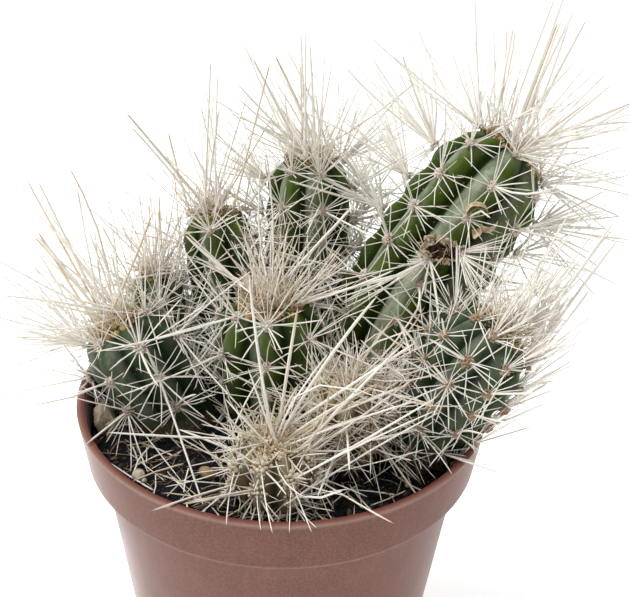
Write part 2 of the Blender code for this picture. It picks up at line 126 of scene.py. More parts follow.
class Stem(NamedTuple):
    """One stem of the clump. Lengths are millimetres and angles are degrees."""
    foot: tuple          # where the axis meets the soil, x and y
    apex: tuple          # the growing tip, x, y and z
    bow: tuple           # how far the middle of the axis stands off its straight line
    radius: float        # over the ribs, at the widest
    foot_share: float    # of that radius, at the buried end
    widest: float        # share of the length where the stem is widest
    narrowing: float     # loss of radius from there to the tip
    cap: float           # length of the rounded tip
    ribs: int
    turn: float          # direction of the first rib: 0 is -X, 90 is the camera's side
    spacing: float       # between the pads along a rib
    reach: float         # length of the spines, as a share of the common one
    skin: str            # slot of its finish


STEMS = {
    "stem_left": Stem((-28.0, 1), (-43.6, 4.0, 112.3), (-0.5, 0, 1), 12.1, 0.80, 0.45, 0.04, 11.5,
                      7, 69, 9, 0.92, "dark_green_skin"),
    "stem_back_left": Stem((-31.0, 24), (-35.6, 28.0, 113.1), (0, 0, 0), 7.8, 0.82, 0.40, 0.03, 8.0,
                           6, 40, 8.0, 1.20, "green_skin"),
    "stem_upper_left": Stem((-13.8, 29), (-19.3, 32.0, 129.4), (0, 0, 0), 9.6, 0.82, 0.40, 0.02, 8.0,
                            6, 84, 8.3, 1.00, "green_skin"),
    "stem_back": Stem((5.4, 34.8), (6.4, 42.0, 141.4), (0, 0, 0), 11.9, 0.80, 0.40, 0.04, 10.0,
                      7, 105, 8.8, 1.00, "green_skin"),
    "stem_tall": Stem((22.2, 13.6), (60.0, 36.0, 147), (-3.0, 0, 3), 17.2, 0.63, 0.42, 0.14, 13.0,
                      8, 73, 10.0, 1.00, "green_skin"),
    "stem_centre": Stem((-3.0, 4), (-3.8, 4.0, 119.4), (0, 0, 0), 13.6, 0.78, 0.45, 0.03, 12.0,
                        7, 87, 8.7, 0.85, "green_skin"),
    "stem_right": Stem((35.4, -15), (53.4, -12.0, 122), (-2.6, 0, 2.1), 12.1, 0.42, 0.66, 0.02, 12.0,
                       9, 58, 6.8, 0.85, "dark_green_skin"),
    "pup_middle": Stem((15.8, -14.2), (16.6, -14.2, 107.1), (0, 0, 0), 8.2, 0.82, 0.40, 0.03, 8.0,
                       8, 80, 4.6, 0.80, "pup_skin"),
    "pup_front": Stem((-1.5, -29), (-1.7, -29.0, 100), (0, 0, 0), 9.4, 0.86, 0.40, 0.03, 9.0,
                      8, 68, 4.8, 0.62, "pup_skin"),
}


class Habit(NamedTuple):
    """How one stem wears its spines, wool and skin, as the photograph shows it."""
    cork: float = 0.22        # share of the height that has turned to grey cork
    # The wax on one flank is real wax and also painted light, brightest where that flank faces the key light
    film: float = 0.55        # whitish wax on one flank of every rib
    film_side: int = -1       # -1 is the flank that comes before the crest, 1 the one after it
    radials: int = 11         # spines round a pad
    risers: int = 3           # spines that rise halfway
    centrals: int = 2         # long spines that stand out
    long_reach: float = 1.0   # length of the long spines, as a share of the common one
    sweep: float = 0.15       # how far the spines are swept up along the stem
    hug: float = 0.0          # how far those on the side of +X are pressed upwards to the stem
    tuft: int = 40            # fine spines of the crown, in all directions
    crown: float = 1.0        # length of those, as a share of the common one
    fade: float = 0.0         # how thin and pale the spines are, or below zero how straw-coloured
    pad: float = 1.0          # size of a pad, as a share of the common one
    ochre: float = 0.1        # how ochre and brown the pads are, or below zero how pale
    woolly: float = 1.0       # hairs of the crown, as a share of the common number


HABITS = {
    "stem_left": Habit(cork=0.34, film=0.5, film_side=1, radials=10, risers=2, centrals=1, tuft=22, fade=0.2,
                       woolly=1.25),
    "stem_back_left": Habit(film=0.7, risers=4, centrals=1, crown=0.7, fade=0.6, woolly=0.6),
    "stem_upper_left": Habit(film=0.4, radials=10, risers=2, centrals=1, tuft=30, crown=0.7, fade=0.3,
                             woolly=0.5),
    "stem_back": Habit(film=1.0, radials=14, risers=7, tuft=34, crown=0.8, fade=0.9, woolly=0.4),
    "stem_tall": Habit(film=1.0, radials=9, risers=1, centrals=1, tuft=34, crown=0.7, fade=0.2, woolly=0.6),
    "stem_centre": Habit(cork=0.24, film=0.35, radials=9, risers=1, centrals=0, tuft=34, crown=0.8,
                         ochre=-0.1, woolly=1.6),
    "stem_right": Habit(cork=0.36, film=0.3, radials=9, risers=2, centrals=1, sweep=0.35, hug=2.0, tuft=50,
                        crown=0.8, fade=0.4, ochre=1.0, woolly=0.7),
    "pup_middle": Habit(risers=4, centrals=1, long_reach=1.4, tuft=6, crown=0.5, fade=-0.3, pad=1.3,
                        ochre=0.0, woolly=0.6),
    "pup_front": Habit(radials=9, centrals=1, long_reach=1.6, tuft=4, crown=0.5, fade=-0.2, pad=1.55,
                       ochre=0.0, woolly=0.6),
}


class LongSpine(NamedTuple):
    """A long spine as the photograph shows it: its pad, and its direction and length in the picture."""
    rib: int
    row: int
    clock: float              # degrees, anticlockwise from the picture's right
    reach: float              # length in the picture, in mm
    radius: float = 0.22      # mm
    towards: float = 12.0     # lean towards the camera, in degrees
    bow: float = 0.03
    tone: float = 0.1


# The long spines of every stem, each as the values of a LongSpine
LONG_SPINES = {
    "stem_left": [
        (1, 0, -63, 10.5, 0.30, 35, 0.08), (1, 0, -66, 8, 0.26, 32),
        (1, 1, -71, 33, 0.36, 24), (1, 0, 168, 8.5, 0.26),
        (1, 0, -143, 9.3), (1, 0, -119, 8.6), (1, 0, 98, 9.5), (1, 0, 92, 9),
        (1, 1, -118, 11.5), (1, 1, 55, 10.5, 0.20, 12, 0.09), (1, 1, 0, 14, 0.15),
        (1, 1, 128, 9), (1, 1, -41, 15, 0.2, 20), (1, 1, -88, 12, 0.2, 20),
        (2, 1, -49, 24.5, 0.28, 22), (2, 1, -65, 16, 0.2, 20), (2, 0, -72, 12),
        (6, 2, 186, 22, 0.26), (6, 1, 163, 18.5, 0.15), (0, 0, 136, 23, 0.15),
        (0, 0, 152, 25, 0.15), (6, 0, 115, 26, 0.15), (1, 2, 199, 10.5, 0.16),
        (1, 2, -135, 11, 0.2), (1, 2, -28, 20, 0.2, 15), (0, 2, -71, 16, 0.22),
        (0, 2, -87, 15, 0.2), (0, 2, -125, 9.5), (0, 2, -52, 22, 0.2, 14, 0.08),
        (0, 1, 196, 12, 0.18), (6, 2, -60, 15, 0.2, 8, 0.14),
    ],
    "stem_back_left": [
        (1, 1, -40, 13, 0.2), (1, 1, 20, 11, 0.18), (1, 0, 60, 12, 0.16),
    ],
    "stem_upper_left": [
        (5, 0, 95, 24, 0.17, -5, 0.02, 1), (5, 0, 165, 15.5, 0.2, 0, 0.02, 1),
        (0, 0, 140, 9, 0.22), (0, 0, 150, 8, 0.22), (0, 0, 42, 8.5, 0.22),
        (0, 0, 30, 9, 0.22), (0, 0, 188, 8, 0.2), (0, 1, -27, 12, 0.2),
    ],
    "stem_back": [
        (1, 0, -40, 12, 0.18), (0, 0, -110, 10, 0.18), (6, 1, -20, 12, 0.18),
    ],
    "stem_tall": [
        (7, 2, -26, 12.5, 0.27, 25), (7, 2, -29, 9.5, 0.24, 25), (7, 2, -106, 9),
        (7, 2, -65, 8, 0.24), (7, 3, -43, 8.5, 0.28), (7, 3, -85, 8.5, 0.24),
        (7, 1, -60, 7.5, 0.22), (7, 1, 205, 8.5, 0.2), (7, 1, -28, 9, 0.2),
        (7, 0, -88, 6.5, 0.22), (7, 0, -24, 8, 0.22), (7, 0, -34, 7.5, 0.2),
        (0, 4, -38, 8, 0.22), (0, 4, -85, 10.5, 0.24, 20), (0, 4, 20, 8, 0.2),
        (7, 0, 134, 37.5, 0.26, 4, 0.04, 0.5), (7, 0, 115, 32.5, 0.24, 0, 0.03, 0.5),
        (7, 0, 149, 29.5, 0.14, 4), (7, 1, 131, 25, 0.14, 4), (7, 2, 110, 28.5, 0.14, 0),
        (7, 3, 113, 25, 0.14, 0), (7, 2, 143, 22, 0.14, 6), (7, 1, 67, 12, 0.14),
        (0, 0, -17, 28.5, 0.42, 8, 0.06), (0, 0, -15, 27, 0.30, 12, 0.05), (0, 0, -5, 26, 0.24, 4, 0.05),
        (1, 1, 11, 26, 0.30, -4, 0.04), (1, 1, 16, 27, 0.24, -4), (2, 2, 28, 26, 0.28, -6),
        (2, 2, 22, 24, 0.24, -6), (0, 0, -36, 9, 0.22), (0, 0, 130, 8.5, 0.22),
        (0, 0, 118, 8, 0.2), (0, 1, -27, 9, 0.24), (0, 1, -47, 9.5, 0.26, 20),
        (0, 1, -72, 7.5, 0.22), (0, 1, 6, 9, 0.24), (0, 1, 57, 8.5, 0.2),
        (0, 2, 178, 14, 0.18), (0, 2, -32, 8, 0.22), (0, 2, -86, 8, 0.22),
        (0, 2, 15, 11, 0.18, 20, 0.05, 0.4), (0, 2, 131, 11, 0.16),
        (1, 1, 20, 16, 0.16, 0, 0.03, 0.5), (1, 1, 200, 9, 0.2), (1, 2, 6, 12, 0.15, 0),
    ],
    "stem_centre": [
        (6, 0, 194, 35, 0.32, 16), (6, 0, 196, 29, 0.24, 18),
        (6, 1, 202, 27.5, 0.30, 14), (6, 1, -139, 9.6, 0.22), (6, 0, -57, 8.5, 0.24),
        (6, 0, -18, 7.5, 0.24), (6, 0, 128, 20.5, 0.28, 14), (6, 0, -91, 8, 0.18),
        (6, 0, 8, 8, 0.22), (6, 1, -38, 7, 0.22), (6, 1, -62, 7.5, 0.22),
        (6, 1, 150, 10, 0.18), (0, 0, -126, 10.7, 0.26, 20), (0, 0, -61, 7.8, 0.28, 30),
        (0, 0, 162, 10.2, 0.2), (0, 0, 190, 8, 0.24), (0, 0, 6, 14, 0.26),
        (0, 0, -2, 8, 0.2), (0, 0, 57, 9, 0.24), (0, 0, 43, 8, 0.22),
        (0, 0, 128, 7, 0.24), (1, 0, -24, 24.5, 0.28, 22), (1, 0, -88, 10, 0.22),
        (1, 0, -52, 7.5, 0.18), (1, 0, 196, 9, 0.22), (0, 1, 6, 9, 0.24),
        (0, 1, -14, 9, 0.2), (0, 1, 196, 11, 0.18), (0, 1, -118, 17.5, 0.28, 24),
        (0, 1, -62, 9.5, 0.2), (0, 1, 158, 10.5, 0.18), (0, 1, 168, 9, 0.16),
        (0, 2, -135, 18, 0.2, 25), (0, 2, 172, 16, 0.18, 22), (6, 2, -150, 18, 0.2),
        (6, 2, -75, 16, 0.22, 24), (1, 1, -30, 14, 0.18, 20), (1, 2, -140, 15, 0.18, 26),
    ],
    "stem_right": [
        (0, 2, -58, 9.5, 0.24, 20), (0, 2, -88, 10.5, 0.22), (0, 2, -27, 9.3, 0.22),
        (0, 2, 133, 9, 0.18), (0, 2, 150, 12, 0.26, 16), (0, 2, 34, 20.5, 0.20, 10),
        (0, 2, 206, 16, 0.24, 20), (8, 0, -68, 11, 0.24), (1, 1, -118, 9, 0.16),
        (1, 0, -120, 15, 0.18, 16, 0.08), (1, 3, -131, 10, 0.2), (1, 3, 181, 8, 0.2),
        (0, 4, -52, 13, 0.22), (0, 4, -97, 7, 0.2), (0, 4, -8, 8, 0.16),
        (0, 1, 55, 9.5, 0.2), (0, 1, -35, 9, 0.2), (8, 1, 8, 10, 0.16),
    ],
    "pup_middle": [
        (0, 0, 20, 14, 0.2), (0, 0, 100, 12, 0.2), (7, 0, 160, 14, 0.22),
        (1, 0, -20, 14, 0.2), (0, 1, -150, 15, 0.2), (1, 1, -60, 13, 0.2),
    ],
    "pup_front": [
        (6, 0, 177, 31, 0.36, 16), (6, 0, 171, 14, 0.2), (7, 0, 196, 17, 0.2),
        (7, 0, 152, 15, 0.2), (0, 1, 187, 16, 0.22), (0, 0, -47, 8.5, 0.30, 40),
        (0, 0, 150, 13, 0.22), (0, 1, -60, 11, 0.24, 20), (0, 1, -118, 8, 0.2),
        (1, 1, -58, 9.5, 0.22, 20), (1, 1, 31, 39, 0.27, 14), (1, 0, 30, 38, 0.32, 16),
        (1, 0, 26, 36, 0.26, 18), (1, 0, -15, 14, 0.2), (2, 0, 36, 30, 0.28, 12),
        (2, 1, 14, 26, 0.2, 10), (2, 1, -22, 13, 0.2), (2, 1, -62, 9, 0.2),
        (7, 1, 176, 13, 0.2), (7, 1, -135, 13, 0.2), (1, 1, -20, 5, 0.2, 30, 0.5),
        (0, 0, -80, 15.5, 0.22, 43), (1, 0, -68, 15, 0.20, 43), (7, 0, -99, 15.5, 0.19, 44),
        (1, 0, -92, 14, 0.17, 45), (0, 1, -84, 8.5, 0.17, 59), (1, 1, -48, 8, 0.17, 58),
    ],
}


class Fan(NamedTuple):
    """Spines that spread from a stem's tip, by their directions and lengths in the picture."""
    number: int
    clocks: tuple
    reaches: tuple            # mm
    towards: tuple = (-15, 30)
    radius: float = 0.13      # mm
    start: tuple = (0, 0.0)     # right of the tip and above it, in mm
    spread: float = 3.0           # mm
    tone: float = 0.1
    bow: float = 0.03
    behind: bool = False          # they grow from the pads at the stem's back, near the start


FANS = {
    "stem_left": [
        Fan(24, (96, 198), (14, 36), radius=0.24, spread=5, tone=-0.2), Fan(8, (40, 200), (5, 13), spread=5),
        Fan(1, (67, 67), (29, 30), radius=0.26, tone=1), Fan(1, (107, 107), (38, 40), radius=0.24, tone=0.6),
        Fan(2, (116, 120), (38, 41), radius=0.32, start=(-2, 0), tone=0.2),
        Fan(3, (120, 136), (24, 32), radius=0.30, start=(-2, 0), tone=0.2),
        Fan(24, (112, 200), (12, 28), (-25, 10), 0.20, (-6, -8), 8.0, -0.3, behind=True),
    ],
    "stem_back_left": [
        Fan(14, (58, 140), (12, 26), radius=0.18, tone=-0.5), Fan(22, (0, 180), (5, 11), (0, 60), radius=0.11),
        Fan(1, (93, 93), (21, 22), radius=0.22, tone=1), Fan(1, (80, 80), (17, 18), radius=0.20, tone=0.8),
    ],
    "stem_upper_left": [
        Fan(18, (58, 142), (12, 34), radius=0.22, tone=-0.4),
        Fan(18, (20, 160), (4, 9), radius=0.12, spread=4.5),
        Fan(1, (105, 105), (21, 22), radius=0.28, start=(-5, 0), tone=1),
        Fan(2, (86, 91), (34, 40), radius=0.28),
        Fan(2, (128, 132), (29, 32), radius=0.34, start=(-1, 0)),
        Fan(1, (60, 60), (29, 30), radius=0.22, tone=0.4),
        Fan(1, (76, 76), (38, 40), radius=0.25, start=(5, 0), tone=0.7),
    ],
    "stem_back": [
        Fan(28, (42, 160), (12, 34), radius=0.24, spread=5, tone=-0.5), Fan(16, (0, 180), (5, 11), spread=5),
        Fan(4, (112, 122), (28, 32), radius=0.32), Fan(3, (90, 99), (27, 33), radius=0.30),
        Fan(1, (35, 35), (37, 38), radius=0.20, tone=0.5),
        Fan(22, (10, 75), (10, 26), (-30, 10), 0.19, (8, -8), 8.0, -0.7, behind=True),
        Fan(16, (105, 175), (10, 22), (-30, 10), 0.18, (-8, -8), 8.0, -0.7, behind=True),
        Fan(26, (0, 360), (5, 13), (20, 60), 0.17, (0, -9), 7.0, -0.6),
    ],
    "stem_tall": [
        Fan(38, (92, 155), (14, 36), (-30, 5), 0.25, (-12, -8), 9.0, -0.5, behind=True),
        Fan(30, (95, 165), (10, 30), (-30, 0), 0.25, (-24, -20), 9.0, -0.5, behind=True),
        Fan(44, (-60, 60), (10, 26), (-25, 12), 0.23, (5, -20), 13.0, -0.5, behind=True),
        Fan(30, (-25, 125), (8, 26), radius=0.22, spread=10.0, tone=-0.5),
        Fan(7, (63, 74), (33, 41), (-5, 12), 0.34, (0, 1), 5),
        Fan(4, (74, 92), (25, 30), (-5, 12), 0.30, (-4, 3), 4),
        Fan(8, (28, 52), (23, 30), (-5, 12), 0.30, (2, 0), 6),
        Fan(6, (5, 24), (25, 33), (-5, 12), 0.30, (3, -1), 6),
        Fan(14, (20, 160), (3, 7), radius=0.11, spread=5.5),
    ],
    "stem_centre": [
        Fan(21, (48, 130), (9, 27), (-12, 35), 0.17, (0, 0), 5, 0.35, 0.06),
        Fan(16, (5, 56), (9, 24), (-12, 28), 0.17, (5, -1), 3, 0.3, 0.06),
        Fan(20, (30, 150), (4, 9), (0, 60), 0.13, (0, -1), 6, 0.5),
        Fan(2, (136, 140), (19, 22), (8, 14), 0.30, (-6, 2), 0.8),
        Fan(2, (148, 154), (15, 17), (8, 14), 0.22, (-6, 2), 0.8),
        Fan(1, (47, 47), (25, 26), (8, 9), 0.28, (4, 4), 0.1),
        Fan(2, (92, 102), (33, 37), (-5, 5), 0.20, (-1, 0), 2),
        Fan(3, (12, 22), (24, 30), (5, 20), 0.24, (7, -2), 1),
    ],
    "stem_right": [
        Fan(24, (44, 70), (10, 32), (-20, 10), 0.21, (3, 0), 4, -0.3),
        Fan(10, (-15, 40), (5, 11), start=(3, -1)),
        Fan(8, (66, 108), (7, 14), (-20, 20), 0.18, (0, 0), 5.0, -0.3),
        Fan(14, (20, 160), (4, 8), (0, 60), 0.12, (0, -1), 5),
        Fan(3, (44, 62), (30, 36), radius=0.32, start=(6, -4)),
        Fan(42, (48, 82), (8, 26), (-20, 10), 0.20, (8, -9), 8.0, -0.3, behind=True),
    ],
    "pup_middle": [
        Fan(16, (-20, 60), (8, 24), (5, 45), 0.18, (1, 0), 4, 0.35, 0.14),
        Fan(14, (60, 200), (5, 15), (0, 60), 0.16, (0, -1), 4, 0.4, 0.12),
    ],
    "pup_front": [
        Fan(8, (60, 124), (7, 20), (0, 40), 0.18, (0, 0), 3, 0.35, 0.10),
        Fan(9, (-8, 62), (9, 28), (8, 45), 0.18, (2, -1), 4.5, 0.35, 0.18),
        Fan(8, (-70, 15), (5, 12), (20, 60), 0.17, (2, -2), 4.5, 0.35, 0.20),
        Fan(8, (125, 200), (7, 18), (10, 50), 0.18, (-2, 0), 3.5, 0.35, 0.16),
        Fan(5, (18, 62), (16, 34), (6, 25), 0.24, (2, -1), 3, 0.1, 0.08),
        Fan(1, (98, 98), (34, 35), (18, 19), 0.34, (-1, 3), 0.1),
        Fan(1, (81, 81), (27, 28), (18, 19), 0.32, (1, 3), 0.1),
        Fan(1, (55, 55), (37, 38), (16, 17), 0.32, (2, 2), 0.3),
        Fan(1, (33, 33), (35, 36), (16, 17), 0.34, (3, 3), 0.3),
        Fan(2, (45, 46), (33, 34), (14, 15), 0.32, (6, -3), 1.2),
    ],
}


def clamp(value, low=0.0, high=1.0):
    """The value, held between two limits."""
    return min(high, max(low, value))


def swing(first, second, angle):
    """The first direction, swung by an angle towards the second."""
    return first * math.cos(angle) + second * math.sin(angle)


class Pad(NamedTuple):
    """A woolly pad on a rib."""
    rib: int
    row: int             # from the tip
    share: float         # of the stem's length, from its buried end
    place: Vector
    out: Vector          # out of the skin
    up: Vector           # up the rib


class Growth:
    """The surface of one stem: a bowed axis, a profile along it and ribs round it, as on the solid stem."""

    def __init__(self, stem):
        self.stem = stem
        foot = Vector((*stem.foot, SOIL_LEVEL / MM)) * MM
        self.apex = Vector(stem.apex) * MM
        self.bow = Vector(stem.bow) * MM
        rise = (self.apex - foot).normalized()
        self.end = foot - rise * (STEM_DEPTH / rise.z)
        self.length = (self.apex - self.end).length
        self.cap = stem.cap * MM / self.length
        self.spacing = stem.spacing * MM

    def axis(self, share):
        """The axis, its direction and the two directions across it."""
        chord = self.apex - self.end
        point = self.end + chord * share + self.bow * (4 * share * (1 - share))
        along = (chord + self.bow * (4 - 8 * share)).normalized()
        left = along.cross(Vector((0, 1, 0))).normalized()
        return point, along, left, along.cross(left)

    def profile(self, share):
        """Radius over the ribs, as a share of the widest."""
        stem = self.stem
        grown = math.sin(min(1.0, share / stem.widest) * math.pi / 2)
        radius = stem.foot_share + (1 - stem.foot_share) * grown
        radius *= 1 - stem.narrowing * max(0.0, share - stem.widest) / (1 - stem.widest)
        into_cap = (share - (1 - self.cap)) / self.cap
        return radius * math.sqrt(max(0.0, 1 - max(0.0, into_cap) ** 2))

    def rib_swell(self, share, rib_angle):
        """Rounded ribs with narrow furrows between them, which swell where a pad sits."""
        rib = round(rib_angle)
        crest = abs(math.cos(math.pi * (rib_angle - rib)))
        below_tip = (1 - share) * self.length - CROWN_GAP - (rib % 2) * self.spacing / 2
        beat = math.cos(math.tau * below_tip / self.spacing)
        return 1 - RIB_DEPTH * (1 - crest) + PAD_SWELL * beat * crest ** 4

    def surface(self, share, angle):
        """A point of the skin. The angle is in turns of a full circle from the first rib."""
        point, _, left, front = self.axis(share)
        turn = math.radians(self.stem.turn) + angle * math.tau
        radius = self.stem.radius * MM * self.profile(share) * self.rib_swell(share, angle * self.stem.ribs)
        return point + swing(left, front, turn) * radius

    def sunk(self, share):
        """How far below the tip its dome lies, at a share of the stem's radius from the axis."""
        return self.cap * self.length * (1 - math.sqrt(max(0.0, 1 - share ** 2)))

    def outward(self, share, angle):
        """The skin's normal, and the direction up the rib, smoothed over the ribs."""
        step = 0.4 * MM / self.length
        up = (self.surface(min(1, share + step), angle) - self.surface(share - step, angle)).normalized()
        turn = math.radians(self.stem.turn) + angle * math.tau
        _, _, left, front = self.axis(share)
        round_it = (front * math.cos(turn) - left * math.sin(turn)).normalized()
        return round_it.cross(up).normalized(), up

    def pads(self):
        """Every woolly pad: a spacing apart along a rib, with those of neighbouring ribs between them."""
        found = []
        for rib in range(self.stem.ribs):
            below_tip = CROWN_GAP + (rib % 2) * self.spacing / 2
            row = 0
            while below_tip < self.length - STEM_DEPTH - LOWEST_PAD:
                share = 1 - below_tip / self.length
                angle = rib / self.stem.ribs
                out, up = self.outward(share, angle)
                found.append(Pad(rib, row, share, self.surface(share, angle), out, up))
                below_tip += self.spacing
                row += 1
        return found


GROWTHS = {name: Growth(stem) for name, stem in STEMS.items()}


def band_inner_radius(height):
    """Radius of the inner wall of the band, up to the lip."""
    foot = BAND_FOOT_RADIUS - WALL
    share = (height - LEDGE_HEIGHT) / (POT_HEIGHT - LEDGE_HEIGHT)
    return foot + (RIM_RADIUS - LIP_THICKNESS - foot) * share


def body_inner_radius(height):
    """Radius of the inner wall below the band."""
    return BASE_RADIUS + BODY_TAPER * height - WALL


def soil_height(x, y):
    """Relief of the soil's top, in crumbs and low mounds. It lies level where it meets the wall."""
    wall_side = min(1.0, (band_inner_radius(SOIL_LEVEL) - math.hypot(x, y)) / (6 * MM))
    bumps = noise.noise(Vector((x, y, 0)) / (7 * MM)) + 0.6 * noise.noise(Vector((x, y, 0.05)) / (3 * MM))
    return SOIL_LEVEL + SOIL_RELIEF * bumps * max(0.0, wall_side)


# Modelling helpers

def deselect():
    """Leave edit mode and select nothing."""
    if bpy.context.object and bpy.context.object.mode == "EDIT":
        bpy.ops.object.mode_set(mode="OBJECT")
    bpy.ops.object.select_all(action="DESELECT")


def new_piece(name):
    """The object that a primitive operator has just added, under its own name."""
    piece = bpy.context.object
    piece.name = name
    piece.data.name = name
    return piece


def pick(piece):
    """Select one piece alone."""
    deselect()
    bpy.context.view_layer.objects.active = piece
    piece.select_set(True)


def edit(piece):
    """Enter edit mode on one piece, with nothing in it selected."""
    pick(piece)
    bpy.ops.object.mode_set(mode="EDIT")
    bpy.ops.mesh.select_mode(type="FACE")
    bpy.ops.mesh.select_all(action="DESELECT")


def select_faces(piece, wanted):
    """In edit mode, select the faces that the test accepts."""
    shape = bmesh.from_edit_mesh(piece.data)
    for face in shape.faces:
        face.select_set(wanted(face))
    shape.select_flush_mode()
    bmesh.update_edit_mesh(piece.data)


def raise_rings(rings):
    """In edit mode, extrude the selected face through (radius, height) rings about the Z axis."""
    for (radius, height), (next_radius, next_height) in zip(rings, rings[1:]):
        bpy.ops.mesh.extrude_region_move(TRANSFORM_OT_translate={"value": (0, 0, next_height - height)})
        grow = next_radius / radius
        bpy.ops.transform.resize(value=(grow, grow, 1), center_override=(0, 0, next_height))


def face_outwards():
    """In edit mode, turn every face outwards, and leave edit mode."""
    bpy.ops.mesh.select_all(action="SELECT")
    bpy.ops.mesh.normals_make_consistent(inside=False)
    bpy.ops.object.mode_set(mode="OBJECT")


def apply_modifier(piece, kind, **settings):
    """Add a modifier and apply it."""
    pick(piece)
    step = piece.modifiers.new(kind.lower(), kind)
    for setting, value in settings.items():
        setattr(step, setting, value)
    bpy.ops.object.modifier_apply(modifier=step.name)


def apply_place(piece):
    """Put the piece's location, rotation and scale into its mesh."""
    pick(piece)
    bpy.ops.object.transform_apply(location=True, rotation=True, scale=True)


def turned(name, sides, rings):
    """A piece from a disc, extruded through (radius, height) rings and closed in the middle of the last."""
    radius, height = rings[0]
    deselect()
    bpy.ops.mesh.primitive_circle_add(vertices=sides, radius=radius, fill_type="NGON",
                                      location=(0, 0, height))
    piece = new_piece(name)
    apply_place(piece)
    edit(piece)
    bpy.ops.mesh.select_all(action="SELECT")
    raise_rings(rings)
    bpy.ops.mesh.merge(type="COLLAPSE")
    face_outwards()
    return piece


def finish_piece(piece, material, nodes):
    """Give the piece its material, and tie it to the frame."""
    piece.data.materials.clear()
    piece.data.materials.append(material)
    deselect()
    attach(piece, "root")
    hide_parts(*nodes)


def shade(piece, angle=None):
    """Shade smooth, all over or up to an angle between faces."""
    pick(piece)
    if angle is None:
        bpy.ops.object.shade_smooth()
    else:
        bpy.ops.object.shade_smooth_by_angle(angle=math.radians(angle))


def tree_of(name):
    """A search tree over a finished piece."""
    piece = bpy.data.objects.get(name)
    if piece is None:
        raise RuntimeError(f"{name} has to be made first")
    shape = bmesh.new()
    shape.from_mesh(piece.data)
    tree = BVHTree.FromBMesh(shape)
    shape.free()
    return tree


def take_master(name):
    """The points and faces of a master that is only copied, as arrays. The master's object is removed."""
    master = bpy.data.objects[name]
    mesh = master.data
    points = np.array([vert.co for vert in mesh.vertices])
    faces = [tuple(face.vertices) for face in mesh.polygons]
    bpy.data.objects.remove(master)
    bpy.data.meshes.remove(mesh)
    return points, faces


def add_attributes(mesh, **attributes):
    """Give a mesh attributes for its material, each with a value for every point."""
    for label, values in attributes.items():
        layer = mesh.attributes.new(label, "FLOAT", "POINT")
        layer.data.foreach_set("value", np.asarray(values, np.float32).reshape(-1))


def joined(name, points, faces, **attributes):
    """One object of many copies of a master: points is (copies, points, 3), faces are the master's."""
    copies, count = points.shape[:2]
    everything = [tuple(corner + copy * count for corner in face) for copy in range(copies) for face in faces]
    mesh = bpy.data.meshes.new(name)
    mesh.from_pydata(points.reshape(-1, 3), [], everything)
    mesh.shade_smooth()
    add_attributes(mesh, **attributes)
    made = bpy.data.objects.new(name, mesh)
    bpy.context.scene.collection.objects.link(made)
    return made


# Spines and hairs: one straight master, and a rule that bends and places each copy

class Strand(NamedTuple):
    """One spine, hair or fibre."""
    root: Vector
    aim: Vector          # from the root to the point
    radius: float
    bow: float = 0.0     # sideways swell of the middle, as a share of the length
    kink: float = 0.0    # sideways turn past the kink, as a share of the length
    curl: float = 0.0    # radius of the curl, as a share of the length
    turns: float = 0.0   # of the curl
    tone: float = 0.5    # -1 is white, 0 the common pale tone, 1 the brownest


KINK_SHARE = 0.55
GOLDEN_ANGLE = math.radians(137.5)


def spine_master(name, sides, rings):
    """A straight spine of unit length and unit radius along +Z: a low foot, a long shaft and a point."""
    turned(name, sides, rings)
    return take_master(name)


def grow_strands(name, master, strands, chance):
    """Copy the master along every strand, bent as the strand says, into one object."""
    points, faces = master
    height = points[:, 2]
    roots = np.array([strand.root for strand in strands])
    aims = np.array([strand.aim for strand in strands])
    lengths = np.linalg.norm(aims, axis=1)[:, None, None]
    along = aims[:, None, :] / lengths
    spare = np.array([chance.gauss(0, 1) for _ in range(3 * len(strands))]).reshape(-1, 1, 3)
    side = np.cross(along, spare)
    side /= np.linalg.norm(side, axis=2, keepdims=True)
    other = np.cross(along, side)
    radius, bow, kink, curl, turns, tone = (
        np.array([getattr(strand, part) for strand in strands])[:, None, None]
        for part in ("radius", "bow", "kink", "curl", "turns", "tone"))
    share = height[None, :, None].clip(0, 1)
    wave = math.tau * turns * share
    sideways = bow * 4 * share * (1 - share) + kink * (share - KINK_SHARE).clip(0, 1) + curl * np.sin(wave)
    crossways = curl * (np.cos(wave) - 1)
    copies = (roots[:, None, :] + along * lengths * height[None, :, None]
              + side * (lengths * sideways + radius * points[None, :, :1])
              + other * (lengths * crossways + radius * points[None, :, 1:2]))
    ahead = np.broadcast_to(share[:, :, 0], copies.shape[:2])
    tones = np.broadcast_to(tone[:, :, 0], copies.shape[:2])
    return joined(name, copies, faces, ahead=ahead, tone=tones)


# Material helpers

